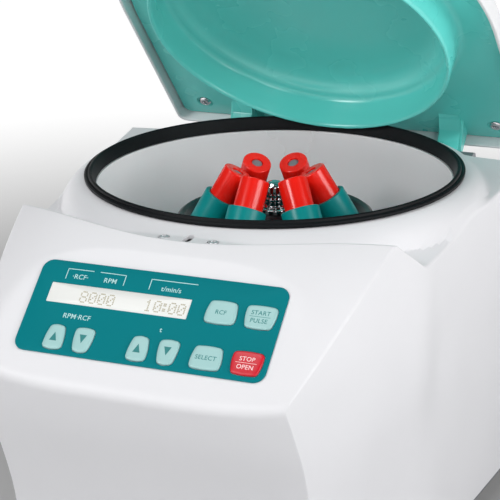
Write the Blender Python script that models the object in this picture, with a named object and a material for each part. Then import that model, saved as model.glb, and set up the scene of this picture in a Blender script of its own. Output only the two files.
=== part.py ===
# Benchtop centrifuge with an open lid: angle rotor, six tubes, sloped control
# panel.  Run with: blender --background --python part.py
#
# Design frame (millimetres): X right, Y back, Z up, with the bowl axis at
# X = Y = 0 and the top of the lid gasket at Z = 0.  The world frame is in
# metres: its origin is on the floor, under the middle of the whole object.
import bpy
import math
from mathutils import Matrix, Vector

for _ob in list(bpy.data.objects):
    bpy.data.objects.remove(_ob, do_unlink=True)

# ---------------------------------------------------------------- dimensions
MM = 0.001
RIM_HEIGHT = 213.0          # gasket top above the floor
Y_SHIFT = 30.9              # bowl axis behind the middle of the object
GAP = 0.3                   # between pieces that touch

WALL = 3.0                  # housing wall
HOLE_R = 107.2              # opening in the deck for the bowl
DRUM_R = 121.5              # round wall behind the bowl
Z_BOTTOM = -201.0           # lower rim of the housing
Z_FLOOR = -33.0             # hinge recess floor
Y_STEP = 79.0               # front wall of the hinge recess
Y_REAR = 137.5              # back wall
REAR_R = 20.0               # rear vertical corners

PANEL_TILT = math.radians(40.55)
PANEL_Y = -150.76           # top edge of the control panel
PANEL_Z = -16.79
PANEL_W, PANEL_H, PANEL_R = 137.0, 53.4, 6.0

GASKET_R = 110.0
BOWL_R = 102.8
BOWL_T = 1.2
BOWL_DEPTH = 112.0

HINGE_Y, HINGE_Z = 113.7, -22.3
LID_OPEN = math.radians(47.05)
PIN_R = 3.0

TUBE_N = 6
TUBE_PHASE = math.radians(20.0)
TUBE_TILT = math.radians(30.0)
TUBE_TOP_R, TUBE_TOP_Z = 20.9, -4.8
TUBE_R, TUBE_LEN = 8.5, 88.0
SLEEVE_R, SLEEVE_BORE, SLEEVE_START, SLEEVE_END = 11.2, 8.9, 18.0, 92.0

KEY_TRAVEL = 0.6
LATCH_Y = -122.6

# plan half width of the body at Z = -22, front to back
PLAN = [(-206.0, 74.6), (-200.2, 77.4), (-176.0, 88.2), (-146.1, 99.4),
        (-104.6, 109.8), (-79.2, 115.9), (-44.0, 119.3), (0.0, 123.1),
        (55.0, 127.9), (110.0, 132.6), (140.0, 134.9)]
# front wall below the nose, at the corners
FRONT = [(-201.0, -164.0), (-146.0, -169.7), (-115.5, -178.2),
         (-86.7, -189.8), (-59.2, -200.2), (-50.0, -205.0)]
# how far the side walls lean out at the front, from Z = -22 down
LEAN = [(-201.0, -8.6), (-146.0, -5.2), (-115.5, -0.9), (-86.7, 4.0),
        (-59.4, 5.1), (-22.0, 0.0), (0.0, -3.0)]

# resolution of the body
N_FRONT, N_SIDE, N_ARC, N_STEP = 16, 10, 14, 2
N_RING, N_FASCIA, N_WALL, N_FLOOR = 5, 7, 4, 4


# ---------------------------------------------------------------- curves
def spline(knots, t):
    """Smooth curve through (t, value) knots, without overshoot."""
    n = len(knots)
    if t <= knots[0][0]:
        return knots[0][1]
    if t >= knots[-1][0]:
        return knots[-1][1]
    h = [knots[i + 1][0] - knots[i][0] for i in range(n - 1)]
    d = [(knots[i + 1][1] - knots[i][1]) / h[i] for i in range(n - 1)]
    m = [d[0]] + [0.0] * (n - 2) + [d[-1]]
    for i in range(1, n - 1):
        if d[i - 1] * d[i] > 0:
            w1, w2 = 2 * h[i] + h[i - 1], h[i] + 2 * h[i - 1]
            m[i] = (w1 + w2) / (w1 / d[i - 1] + w2 / d[i])
    for i in range(n - 1):
        if t <= knots[i + 1][0]:
            s = (t - knots[i][0]) / h[i]
            a = knots[i][1]
            b = knots[i + 1][1]
            return ((2 * s ** 3 - 3 * s * s + 1) * a
                    + (s ** 3 - 2 * s * s + s) * h[i] * m[i]
                    + (-2 * s ** 3 + 3 * s * s) * b
                    + (s ** 3 - s * s) * h[i] * m[i + 1])
    return knots[-1][1]


def smooth(a, b, t):
    s = min(1.0, max(0.0, (t - a) / (b - a)))
    return s * s * (3 - 2 * s)


def smax(a, b, k):
    h = max(k - abs(a - b), 0.0) / k
    return max(a, b) + h * h * k * 0.25


def smin(a, b, k):
    return -smax(-a, -b, k)


# ---------------------------------------------------------------- body shape
def half_width(y, z):
    """Half width of the body at a point of its side wall."""
    w = smooth(-55.0, -99.0, y)
    lean = spline(LEAN, z) * w
    draft = 0.020 * min(0.0, z + 22.0) * (1.0 - w)
    over = max(0.0, y - (Y_REAR - REAR_R))
    corner = REAR_R - math.sqrt(max(0.0, REAR_R ** 2 - over * over))
    return spline(PLAN, y) + lean + draft - corner


def plane_z(y):
    return PANEL_Z + (y - PANEL_Y) * math.tan(PANEL_TILT)


def wing_z(y):
    """Height of the fascia's side edge."""
    s = min(1.05, max(-0.05, (-y - 104.6) / 95.6))
    return -4.18 - 55.2 * (0.677 * s + 0.323 * s * s)


def vault_z(x, y):
    z = wing_z(y)
    xe = half_width(y, z)
    return z + 12.0 * (1.0 - min(1.0, abs(x) / xe) ** 4)


def fascia_z(x, y):
    return smin(plane_z(y), vault_z(x, y), 0.5)


def top_y(x):
    """Upper edge of the fascia, in plan."""
    x = min(abs(x), 107.4)
    return -133.4 + 214.5 - math.sqrt(214.5 ** 2 - x * x)


def flat_y(x):
    """Upper boundary of the flat panel face, in plan."""
    ax = abs(x)

    def cross(q):
        lo, hi = -165.0, top_y(q) - 0.5
        for _ in range(40):
            mid = 0.5 * (lo + hi)
            if vault_z(q, mid) > plane_z(mid):
                lo = mid
            else:
                hi = mid
        return 0.5 * (lo + hi)

    if ax <= 60.0:
        return cross(ax)
    y0 = cross(60.0)
    slope = (cross(60.0) - cross(56.0)) / 4.0
    return y0 + slope * 14.0 * (1.0 - math.exp(-(ax - 60.0) / 14.0))


def edge_z(y):
    """Height of the deck's side edge behind the wings."""
    return -22.67 + 0.0884 * (y + 66.0)


def collar_z(r):
    t = min(1.0, max(0.0, (r - 107.0) / 17.0))
    return -4.1 - 19.0 * (1.0 - math.sqrt(1.0 - t * t)) - 3.0 * max(0.0, r - 124.0)


def deck_z(x, y):
    r = math.hypot(x, y)
    e = edge_z(y)
    q = min(1.0, abs(x) / spline(PLAN, y))
    base = e + (-7.2 - e) * (1.0 - q * q)
    xb = min(abs(x), 107.4)
    back = vault_z(xb, top_y(xb)) - 0.79 * (y - top_y(xb))
    z = smax(collar_z(r), base, 5.0)
    z = smax(z, back, 2.5)
    flat = smooth(118.0, 110.0, r)
    return flat * min(z, collar_z(r) + 0.05) + (1.0 - flat) * z


def nose_y(u):
    return -204.8 + 4.6 * abs(u) ** 4


def coons(c0, c1, d0, d1, s, t):
    """Patch between four curves of points; rows run along s."""
    out = []
    n, m = len(s), len(t)
    for j in range(m):
        row = []
        for i in range(n):
            p = []
            for k in range(len(c0[0])):
                v = ((1 - t[j]) * c0[i][k] + t[j] * c1[i][k]
                     + (1 - s[i]) * d0[j][k] + s[i] * d1[j][k]
                     - (1 - s[i]) * (1 - t[j]) * c0[0][k]
                     - s[i] * (1 - t[j]) * c0[-1][k]
                     - (1 - s[i]) * t[j] * c1[0][k]
                     - s[i] * t[j] * c1[-1][k])
                p.append(v)
            row.append(tuple(p))
        out.append(row)
    return out


def chord(points):
    acc = [0.0]
    for a, b in zip(points, points[1:]):
        acc.append(acc[-1] + math.dist(a, b))
    return [v / acc[-1] for v in acc]


def body_skin():
    """Open outer surface of the housing: list of quad patches (rows)."""
    patches = []
    us = [-1.0 + 2.0 * i / N_FRONT for i in range(N_FRONT + 1)]

    # front wall, from the lower rim up to the nose
    lower = []
    for j in range(N_WALL + 1):
        t = j / N_WALL
        row = []
        ze = Z_BOTTOM + (plane_z(nose_y(1.0)) - Z_BOTTOM) * t
        xe = half_width(spline(FRONT, ze), ze)
        for u in us:
            z = Z_BOTTOM + (plane_z(nose_y(u)) - Z_BOTTOM) * t
            zz = z + (ze - z) * 1.0
            y = spline(FRONT, zz) - 4.6 * (1.0 - abs(u) ** 4)
            row.append((u * xe, y, z))
        lower.append(row)
    patches.append(lower)

    # fascia, from the nose to its upper edge
    fascia = []
    n1 = max(2, int(round(N_FASCIA * 0.7)))
    rows = [i / n1 for i in range(n1)] + [1.0 + i / (N_FASCIA - n1)
                                          for i in range(N_FASCIA - n1 + 1)]
    for v in rows:
        ye0 = nose_y(1.0)
        yf = flat_y(97.0)
        ye = ye0 + (yf - ye0) * v if v <= 1 else yf + (-104.6 - yf) * (v - 1)
        xe = half_width(ye, wing_z(ye))
        row = []
        for u in us:
            x = u * xe
            yn = nose_y(u)
            ya = flat_y(x) if abs(u) < 1 else yf
            y = yn + (ya - yn) * v if v <= 1 else ya + (top_y(x) - ya) * (v - 1)
            if abs(u) == 1:
                y = ye
            z = fascia_z(x, y) if abs(u) < 1 else wing_z(y)
            if v == 0:
                z = plane_z(y)
            if v == 2:
                z = vault_z(x, y)
            row.append((x, y, z))
        fascia.append(row)
    patches.append(fascia)

    # boundary of the deck, counter-clockwise from the left peak
    front = fascia[-1]
    ys = [-104.6, -98.0, -90.0, -82.5, -76.0, -66.0]
    k = N_SIDE - len(ys) + 1
    ys += [-66.0 + (Y_STEP + 66.0) * i / k for i in range(1, k + 1)]

    def deck_edge(y):
        if y <= -104.6:
            return front[-1]
        z = deck_z(half_width(y, edge_z(y)), y)
        return (half_width(y, z), y, z)

    right = [deck_edge(y) for y in ys]
    xd = math.sqrt(DRUM_R ** 2 - Y_STEP ** 2)
    a0 = math.atan2(Y_STEP, xd)
    rear = [right[-1]]
    for i in range(1, N_STEP + 1):
        x = right[-1][0] + (xd - right[-1][0]) * i / N_STEP
        rear.append((x, Y_STEP, deck_z(x, Y_STEP)))
    for i in range(1, N_ARC + 1):
        a = a0 + (math.pi - 2 * a0) * i / N_ARC
        x, y = DRUM_R * math.cos(a), DRUM_R * math.sin(a)
        rear.append((x, y, deck_z(x, y)))
    for i in range(1, N_STEP + 1):
        x = -xd + (-right[-1][0] + xd) * i / N_STEP
        rear.append((x, Y_STEP, deck_z(x, Y_STEP) if i < N_STEP else right[-1][2]))
    left = [(-p[0], p[1], p[2]) for p in reversed(right)]
    loop = front + right[1:] + rear[1:] + left[1:-1]

    # deck, as rings from the bowl opening out to that boundary
    rings = []
    for j in range(N_RING + 1):
        w = (j / N_RING) ** 1.15
        ring = []
        for p in loop:
            a = math.atan2(p[1], p[0])
            q = (HOLE_R * math.cos(a), HOLE_R * math.sin(a))
            x, y = q[0] + (p[0] - q[0]) * w, q[1] + (p[1] - q[1]) * w
            z = p[2] if j == N_RING else deck_z(x, y)
            ring.append((x, y, z))
        ring.append(ring[0])
        rings.append(ring)
    patches.append(rings)

    # hinge recess: its front wall and its floor
    low = [(p[0], p[1], Z_FLOOR) for p in rear]
    xf = half_width(Y_STEP, Z_FLOOR)
    low[0], low[-1] = (xf, Y_STEP, Z_FLOOR), (-xf, Y_STEP, Z_FLOOR)
    patches.append([rear, low])
    fy = [Y_STEP + (Y_REAR - REAR_R - Y_STEP) * i / (N_FLOOR - 2)
          for i in range(N_FLOOR - 1)]
    fy += [Y_REAR - REAR_R + REAR_R * math.sin(math.pi / 2 * i / 3.0)
           for i in range(1, 4)]
    side_r = [(half_width(y, Z_FLOOR), y, Z_FLOOR) for y in fy]
    side_l = [(-p[0], p[1], p[2]) for p in side_r]
    xr = side_r[-1][0]
    n = len(rear) - 1
    cr = chord([p[:2] for p in low])
    back = [(xr - 2 * xr * cr[i], Y_REAR, Z_FLOOR) for i in range(n + 1)]
    floor = []
    for q in side_r:
        t = (q[1] - Y_STEP) / (Y_REAR - Y_STEP)
        span = (1 - t) * low[0][0] + t * back[0][0]
        floor.append([(((1 - t) * e[0] + t * g[0]) * q[0] / span,
                       (1 - t) * e[1] + t * g[1], Z_FLOOR)
                      for e, g in zip(low, back)])
    patches.append(floor)

    # back wall
    wall = []
    for j in range(N_WALL + 1):
        t = j / N_WALL
        z = Z_FLOOR + (Z_BOTTOM - Z_FLOOR) * t
        x = half_width(Y_REAR, z)
        wall.append([(x - 2 * x * cr[i], Y_REAR, z) for i in range(n + 1)])
    patches.append(wall)

    # side walls: upper boundary from the nose to the rear corner
    top = [row[-1] for row in fascia] + right[1:] + [low[0]] + side_r[1:]
    st = chord([p[1:] for p in top])
    y0, y1 = spline(FRONT, Z_BOTTOM), Y_REAR
    bottom = []
    nflo = len(side_r) - 1
    nb = len(top) - 1 - 3
    for i in range(nb + 1):
        y = y0 + (Y_REAR - REAR_R - y0) * i / nb
        bottom.append((y, Z_BOTTOM))
    for i in range(1, 4):
        bottom.append((Y_REAR - REAR_R + REAR_R * math.sin(math.pi / 2 * i / 3.0),
                       Z_BOTTOM))
    fr = [(row[-1][1], row[-1][2]) for row in lower]
    bk = [(row[0][1], row[0][2]) for row in reversed(wall)]
    tops = [(p[1], p[2]) for p in top]
    tt = [j / N_WALL for j in range(N_WALL + 1)]
    grid = coons(bottom, tops, fr, bk, st, tt)
    for sign in (1, -1):
        rows = []
        for j, row in enumerate(grid):
            line = []
            for i, (y, z) in enumerate(row):
                if j == N_WALL:
                    p = top[i]
                    line.append((sign * p[0], p[1], p[2]))
                elif i == 0:
                    p = lower[j][-1]
                    line.append((sign * p[0], p[1], p[2]))
                else:
                    line.append((sign * half_width(y, z), y, z))
            rows.append(line)
        patches.append(rows)
    return patches


# ---------------------------------------------------------------- materials
def material(name, colour, rough, metal=0.0):
    m = bpy.data.materials.new(name)
    m.use_nodes = True
    b = m.node_tree.nodes["Principled BSDF"]
    b.inputs["Base Color"].default_value = (*colour, 1.0)
    b.inputs["Roughness"].default_value = rough
    b.inputs["Metallic"].default_value = metal
    m.diffuse_color = (*colour, 1.0)
    return m


WHITE = material("housing_white", (0.80, 0.80, 0.82), 0.38)
TEAL_LINER = material("liner_teal", (0.20, 0.52, 0.49), 0.36)
TEAL_PANEL = material("panel_teal", (0.003, 0.17, 0.20), 0.42)
KEY_TEAL = material("key_light_teal", (0.42, 0.70, 0.71), 0.45)
KEY_RED = material("key_red", (0.62, 0.02, 0.03), 0.42)
CREAM = material("display_cream", (0.76, 0.77, 0.70), 0.30)
RUBBER = material("gasket_rubber", (0.016, 0.017, 0.020), 0.55)
BOWL_GREY = material("bowl_grey", (0.55, 0.57, 0.60), 0.32, 0.35)
BLACK = material("rotor_black", (0.018, 0.020, 0.024), 0.40)
TEAL_DARK = material("sleeve_teal", (0.01, 0.24, 0.25), 0.38)
RED = material("tube_red", (0.75, 0.03, 0.02), 0.30)
STEEL = material("bright_steel", (0.62, 0.62, 0.63), 0.22, 1.0)
GREY = material("frame_grey", (0.30, 0.31, 0.33), 0.45, 0.6)
DARK = material("dark_plastic", (0.025, 0.026, 0.028), 0.5)
BOARD = material("board_green", (0.02, 0.16, 0.07), 0.5)


# ---------------------------------------------------------------- builders
def world(p):
    return Vector((p[0] * MM, (p[1] + Y_SHIFT) * MM, (p[2] + RIM_HEIGHT) * MM))


def new_object(name, verts, faces, mat, origin=(0, 0, 0), angle=35.0):
    """verts in design millimetres; origin is the object's own origin."""
    o = world(origin)
    me = bpy.data.meshes.new(name)
    me.from_pydata([tuple(world(v) - o) for v in verts], [], faces)
    me.validate()
    me.materials.append(mat)
    ob = bpy.data.objects.new(name, me)
    ob.location = o
    bpy.context.scene.collection.objects.link(ob)
    fix_normals(ob)
    me.shade_smooth()
    me.set_sharp_from_angle(angle=math.radians(angle))
    return ob


def fix_normals(ob):
    import bmesh
    bm = bmesh.new()
    bm.from_mesh(ob.data)
    bmesh.ops.remove_doubles(bm, verts=bm.verts, dist=1e-6)
    bmesh.ops.recalc_face_normals(bm, faces=bm.faces)
    closed = all(e.is_manifold for e in bm.edges)
    if closed and bm.calc_volume(signed=True) < 0:
        bmesh.ops.reverse_faces(bm, faces=bm.faces)
    bm.to_mesh(ob.data)
    bm.free()


def grid_faces(rows, base=0):
    n = len(rows[0])
    return [(base + j * n + i, base + j * n + i + 1,
             base + (j + 1) * n + i + 1, base + (j + 1) * n + i)
            for j in range(len(rows) - 1) for i in range(n - 1)]


def lathe(name, profile, mat, seg=32, centre=(0, 0), axis=None, origin=None,
          angle=35.0):
    """Closed solid turned from (r, z) points.  axis: (point, direction)."""
    verts, faces = [], []
    n = len(profile)
    index = []
    for r, z in profile:
        if r < 1e-6:
            verts.append((0.0, 0.0, z))
            index.append([len(verts) - 1] * seg)
        else:
            ids = []
            for i in range(seg):
                a = 2 * math.pi * i / seg
                verts.append((r * math.cos(a), r * math.sin(a), z))
                ids.append(len(verts) - 1)
            index.append(ids)
    pairs = [(k, (k + 1) % n) for k in range(n)]
    for k, m in pairs:
        a, b = index[k], index[m]
        if profile[k][0] < 1e-6 and profile[m][0] < 1e-6:
            continue
        for i in range(seg):
            j = (i + 1) % seg
            f = [a[i], a[j], b[j], b[i]]
            f = [v for q, v in enumerate(f) if v not in f[:q]]
            if len(f) > 2:
                faces.append(f)
    if axis is None:
        mtx = Matrix.Translation((centre[0], centre[1], 0))
    else:
        p, d = axis
        rot = Vector((0, 0, 1)).rotation_difference(Vector(d)).to_matrix().to_4x4()
        mtx = Matrix.Translation(p) @ rot
    verts = [tuple(mtx @ Vector(v)) for v in verts]
    return new_object(name, verts, faces, mat, origin or (0, 0, 0), angle)


def prism(name, outline, lo, hi, mat, frame=None, origin=(0, 0, 0), angle=35.0,
          top_scale=None):
    """Extruded outline.  frame(u, v, w) gives the design point."""
    frame = frame or (lambda u, v, w: (u, v, w))
    n = len(outline)
    top = outline if top_scale is None else top_scale
    verts = [frame(u, v, lo) for u, v in outline] + [frame(u, v, hi) for u, v in top]
    faces = [tuple(range(n))[::-1], tuple(range(n, 2 * n))]
    faces += [(i, (i + 1) % n, n + (i + 1) % n, n + i) for i in range(n)]
    return new_object(name, verts, faces, mat, origin, angle)


def rounded(w, h, r, seg=4, cx=0.0, cy=0.0):
    pts = []
    for sx, sy, a0 in ((1, 1, 0), (-1, 1, 90), (-1, -1, 180), (1, -1, 270)):
        for i in range(seg + 1):
            a = math.radians(a0 + 90.0 * i / seg)
            pts.append((cx + sx * (w / 2 - r) + r * math.cos(a),
                        cy + sy * (h / 2 - r) + r * math.sin(a)))
    return pts


def trapezoid(cu, cv, w_top, w_bot, h, r, seg=3, inset=0.0):
    """Key outline with round corners; v runs down the panel."""
    a, b, hh = w_top / 2 - inset, w_bot / 2 - inset, h / 2 - inset
    corners = [(a, -hh), (b, hh), (-b, hh), (-a, -hh)]
    r = max(0.3, r - inset)
    pts = []
    n = 4
    for k in range(n):
        p, q, s = corners[k - 1], corners[k], corners[(k + 1) % n]
        d1 = Vector((p[0] - q[0], p[1] - q[1])).normalized()
        d2 = Vector((s[0] - q[0], s[1] - q[1])).normalized()
        half = math.acos(max(-1, min(1, d1.dot(d2)))) / 2
        t = r / math.tan(half)
        c = Vector(q) + (d1 + d2).normalized() * (r / math.sin(half))
        p0, p1 = Vector(q) + d1 * t, Vector(q) + d2 * t
        a0 = math.atan2(p0.y - c.y, p0.x - c.x)
        a1 = math.atan2(p1.y - c.y, p1.x - c.x)
        da = (a1 - a0 + math.pi) % (2 * math.pi) - math.pi
        for i in range(seg + 1):
            g = a0 + da * i / seg
            pts.append((cu + c.x + r * math.cos(g), cv + c.y + r * math.sin(g)))
    return pts


def cutter(ob):
    ob.hide_render = True
    ob.display_type = 'WIRE'
    return ob


def boolean(target, tool, op='DIFFERENCE', apply=True):
    m = target.modifiers.new(op.lower(), 'BOOLEAN')
    m.operation = op
    m.solver = 'EXACT'
    m.object = tool
    if apply:
        bake(target)
        bpy.data.objects.remove(tool, do_unlink=True)


def bake(ob):
    dg = bpy.context.evaluated_depsgraph_get()
    dg.update()
    me = bpy.data.meshes.new_from_object(ob.evaluated_get(dg))
    ob.modifiers.clear()
    ob.data = me
    me.shade_smooth()
    me.set_sharp_from_angle(angle=math.radians(35.0))


def panel_point(u, v, w):
    """Panel frame: u right, v down the slope, w out of the face."""
    c, s = math.cos(PANEL_TILT), math.sin(PANEL_TILT)
    return (u, PANEL_Y - v * c - w * s, PANEL_Z - v * s + w * c)


def lid_point(x, y, z):
    """Closed-lid design point, swung to the open rest position."""
    c, s = math.cos(LID_OPEN), math.sin(LID_OPEN)
    dy, dz = y - HINGE_Y, z - HINGE_Z
    return (x, HINGE_Y + dy * c + dz * s, HINGE_Z - dy * s + dz * c)


# ---------------------------------------------------------------- housing
def build_housing():
    verts, faces = [], []
    for rows in body_skin():
        base = len(verts)
        for row in rows:
            verts.extend(row)
        faces.extend(grid_faces(rows, base))
    o = world((0, 0, 0))
    me = bpy.data.meshes.new("housing")
    me.from_pydata([tuple(world(v)) for v in verts], [], faces)
    me.materials.append(WHITE)
    ob = bpy.data.objects.new("housing", me)
    bpy.context.scene.collection.objects.link(ob)
    import bmesh
    bm = bmesh.new()
    bm.from_mesh(me)
    bmesh.ops.remove_doubles(bm, verts=bm.verts, dist=2e-5)
    bmesh.ops.recalc_face_normals(bm, faces=bm.faces)
    # the fascia faces up and forward
    probe = [f for f in bm.faces
             if f.calc_center_median().z > (RIM_HEIGHT - 20) * MM and f.normal.z > 0.3]
    down = [f for f in bm.faces
            if f.calc_center_median().z > (RIM_HEIGHT - 20) * MM and f.normal.z < -0.3]
    if len(down) > len(probe):
        bmesh.ops.reverse_faces(bm, faces=bm.faces)
    bm.to_mesh(me)
    bm.free()
    s = ob.modifiers.new("wall", 'SOLIDIFY')
    s.thickness = WALL * MM
    s.offset = -1.0
    s.use_even_offset = False
    s.use_rim = True
    bake(ob)
    # latch slot and the two screw holes beside it
    boolean(ob, prism("c1", rounded(5.4, 11.0, 1.2, 2, 0, LATCH_Y), -18, 2, WHITE))
    for x in (-14.0, 14.0):
        boolean(ob, lathe("c2", [(0, -16), (3.0, -16), (3.0, 2), (0, 2)], WHITE, 16,
                          centre=(x, LATCH_Y)))
    # opening behind the display
    boolean(ob, prism("c3", rounded(76, 9.4, 1.0, 1, -20.3, 18.9), -9, 4, WHITE,
                      panel_point))
    # rear openings for the mains inlet and the switch
    rear = lambda u, v, w: (u, Y_REAR + w, v)
    boolean(ob, prism("c4", rounded(28.6, 20.6, 1.5, 1, -62, -160), -9, 4, WHITE, rear))
    boolean(ob, prism("c5", rounded(14.6, 21.6, 1.0, 1, -22, -160), -9, 4, WHITE, rear))
    return ob


build_housing()


# ---------------------------------------------------------------- base, feet
def plan_outline(inset, z, n=14):
    y0 = spline(FRONT, z)
    pts = []
    us = [-1 + 2 * i / 10 for i in range(11)]
    x0 = half_width(y0, z) - inset
    for u in us:
        pts.append((u * x0, y0 - 4.6 * (1 - abs(u) ** 4) + inset))
    ys = [y0 + (Y_REAR - REAR_R - y0) * i / n for i in range(1, n + 1)]
    ys += [Y_REAR - REAR_R + REAR_R * math.sin(math.pi / 2 * i / 4) for i in range(1, 5)]
    for y in ys:
        pts.append((half_width(y, z) - inset, min(y, Y_REAR) - inset * max(
            0.0, (y - (Y_REAR - REAR_R)) / REAR_R)))
    pts += [(-x, y) for x, y in reversed(pts[11:])]
    return pts


prism("base_plate", plan_outline(1.2, Z_BOTTOM), -204.0, Z_BOTTOM - GAP, GREY)
FEET = [(-72.0, -150.0), (72.0, -150.0), (-98.0, 108.0), (98.0, 108.0)]
for i, (x, y) in enumerate(FEET):
    lathe("foot_%d" % (i + 1), [(0, -213.0), (10.5, -213.0), (12.0, -211.5),
                                (13.0, -204.3), (0, -204.3)], RUBBER, 20, centre=(x, y))

# ---------------------------------------------------------------- bowl
zb = -BOWL_DEPTH
fil = 24.0
inner = [(BOWL_R, -8.5)]
for i in range(6):
    a = math.pi / 2 * i / 5
    inner.append((BOWL_R - fil + fil * math.cos(a), zb + fil - fil * math.sin(a)))
inner.append((15.0, zb))
outer = [(15.0, zb - BOWL_T)]
for i in range(5, -1, -1):
    a = math.pi / 2 * i / 5
    outer.append((BOWL_R - fil + (fil + BOWL_T) * math.cos(a),
                  zb + fil - (fil + BOWL_T) * math.sin(a)))
outer.append((BOWL_R + BOWL_T, -8.5))
lathe("bowl", inner + outer, BOWL_GREY, 40)

lathe("gasket", [(103.1, -8.1), (105.9, -8.1), (105.9, -3.7), (109.7, -3.75),
                 (110.0, -3.0), (109.6, -1.4), (108.4, -0.35), (107.0, 0.0),
                 (105.9, -0.3), (105.3, -1.2)], RUBBER, 44)

# ---------------------------------------------------------------- motor
lathe("motor_body", [(0, -190), (40, -190), (42, -188), (42, -134), (40, -131),
                     (18, -131), (16, -128.0), (6.6, -128.0), (6.6, -172), (0, -172)],
      GREY, 28)
lathe("motor_shaft", [(0, -168), (6, -168), (6, -100), (9, -98), (9, -66.4),
                      (6, -66.4), (6, -30.2), (4, -30.2), (4, -20), (0, -20)],
      STEEL, 20)
lathe("bowl_boot", [(9.8, -127.4), (17.0, -127.4), (17.0, -124.0), (14.4, -121.0),
                    (14.4, -106.0), (13.0, -104.0), (9.8, -104.0)], RUBBER, 24)
plate = lathe("motor_plate", [(17.6, -127.7), (64, -127.7), (64, -124.7), (17.6, -124.7)],
              GREY, 30)
for i in range(3):
    a = math.radians(90 + 120 * i)
    lathe("motor_damper_%d" % (i + 1),
          [(0, -200.9), (9, -200.9), (9, -194), (7, -188), (7, -140), (9, -134),
           (9, -128.0), (0, -128.0)], RUBBER, 14,
          centre=(54 * math.cos(a), 54 * math.sin(a)))

# ---------------------------------------------------------------- rotor
tubes = []
for i in range(TUBE_N):
    a = TUBE_PHASE + 2 * math.pi * i / TUBE_N
    d = Vector((math.cos(a) * math.sin(TUBE_TILT), math.sin(a) * math.sin(TUBE_TILT),
                -math.cos(TUBE_TILT)))
    t = Vector((TUBE_TOP_R * math.cos(a), TUBE_TOP_R * math.sin(a), TUBE_TOP_Z))
    tubes.append((t, d))

rotor = lathe("rotor_body",
              [(6.3, -30.0), (8.6, -30.0), (11.0, -33.0), (49.0, -36.5), (53.0, -31.0),
               (55.5, -30.0), (57.5, -31.5), (62.0, -54.0), (60.5, -58.0), (22.0, -60.0),
               (12.0, -66.0), (6.3, -66.0)], BLACK, 30)
for t, d in tubes:
    hole = lathe("cut", [(0, -2), (SLEEVE_R + 0.35, -2), (SLEEVE_R + 0.35, 100),
                         (0, 100)], BLACK, 20, axis=(t, d))
    boolean(rotor, hole)
for i, (t, d) in enumerate(tubes):
    lathe("sleeve_%d" % (i + 1),
          [(SLEEVE_BORE, SLEEVE_START), (SLEEVE_R - 0.5, SLEEVE_START),
           (SLEEVE_R, SLEEVE_START + 0.6), (SLEEVE_R, SLEEVE_END - 3),
           (SLEEVE_R - 3, SLEEVE_END), (0, SLEEVE_END), (0, SLEEVE_END - 3),
           (SLEEVE_BORE - 2, SLEEVE_END - 3), (SLEEVE_BORE, SLEEVE_END - 6)],
          TEAL_DARK, 20, axis=(t, d))
    lathe("tube_%d" % (i + 1),
          [(0, 1.0), (4.2, 1.0), (4.2, 0.0), (TUBE_R - 0.8, 0.0), (TUBE_R, 0.8),
           (TUBE_R, TUBE_LEN - 6), (TUBE_R - 2.4, TUBE_LEN - 1.2), (0, TUBE_LEN)],
          RED, 18, axis=(t, d))
lathe("rotor_nut", [(4.3, -29.7), (8.0, -29.7), (8.0, -27.0), (5.6, -25.5), (5.2, -19.0),
                    (6.0, -18.0), (6.0, -15.5), (4.6, -12.6), (2.4, -11.3), (0, -11.0),
                    (0, -19.6), (4.3, -19.6)], STEEL, 20)


# ---------------------------------------------------------------- lid
def rim_outline(a, rear_y, front_y, slope, y_mid, n_exp, rc, seg_f, seg_s):
    """Closed plan outline: elliptic front, nearly parallel sides, square rear."""
    pts = []
    b = y_mid - front_y
    for i in range(seg_f + 1):
        g = math.pi * i / seg_f
        c, s = math.cos(g), math.sin(g)
        x = -a * math.copysign(abs(c) ** (2 / n_exp), c)
        y = y_mid - b * abs(s) ** (2 / n_exp)
        pts.append((x, y))
    wr = a + slope * (rear_y - y_mid)
    side = []
    for i in range(1, seg_s + 1):
        y = y_mid + (rear_y - rc - y_mid) * i / seg_s
        side.append((a + slope * (y - y_mid), y))
    for i in range(1, 4):
        g = math.pi / 2 * i / 3
        side.append((wr - rc + rc * math.cos(g), rear_y - rc + rc * math.sin(g)))
    rear = [(wr - rc - (2 * (wr - rc)) * i / 6, rear_y) for i in range(1, 6)]
    pts += side + rear + [(-x, y) for x, y in reversed(side)]
    return pts


def ring_solid(name, rings, mat, mapper, centre_lo=None, centre_hi=None):
    """Closed solid from a sequence of loops that closes on itself or on
    two centre points."""
    verts, faces = [], []
    n = len(rings[0])
    for ring in rings:
        verts.extend(ring)
    m = len(rings)
    for j in range(m - 1):
        for i in range(n):
            k = (i + 1) % n
            faces.append((j * n + i, j * n + k, (j + 1) * n + k, (j + 1) * n + i))
    if centre_lo is None:
        for i in range(n):
            k = (i + 1) % n
            faces.append(((m - 1) * n + i, (m - 1) * n + k, k, i))
    else:
        verts.append(centre_lo)
        verts.append(centre_hi)
        a, b = len(verts) - 2, len(verts) - 1
        for i in range(n):
            k = (i + 1) % n
            faces.append((a, k, i))
            faces.append(((m - 1) * n + i, (m - 1) * n + k, b))
    verts = [mapper(*v) for v in verts]
    return new_object(name, verts, faces, mat, mapper(0, HINGE_Y, HINGE_Z))


LID_RIM_Z = -5.7
SHELL_T = 2.2
LINER_Z = 0.35
SEG_F, SEG_S = 24, 5
shell_out = rim_outline(117.6, 123.8, -129.0, 0.024, 5.0, 2.0, 6.0, SEG_F, SEG_S)
shell_in = rim_outline(117.6 - SHELL_T, 123.8 - SHELL_T, -129.0 + SHELL_T, 0.024, 5.0,
                       2.0, 4.5, SEG_F, SEG_S)
MID = (0.0, -3.0)


def scaled(outline, rho, z):
    return [(MID[0] + (x - MID[0]) * rho, MID[1] + (y - MID[1]) * rho, z)
            for x, y in outline]


def crown(rho):
    return 20.0 - 6.5 * rho * rho


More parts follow.
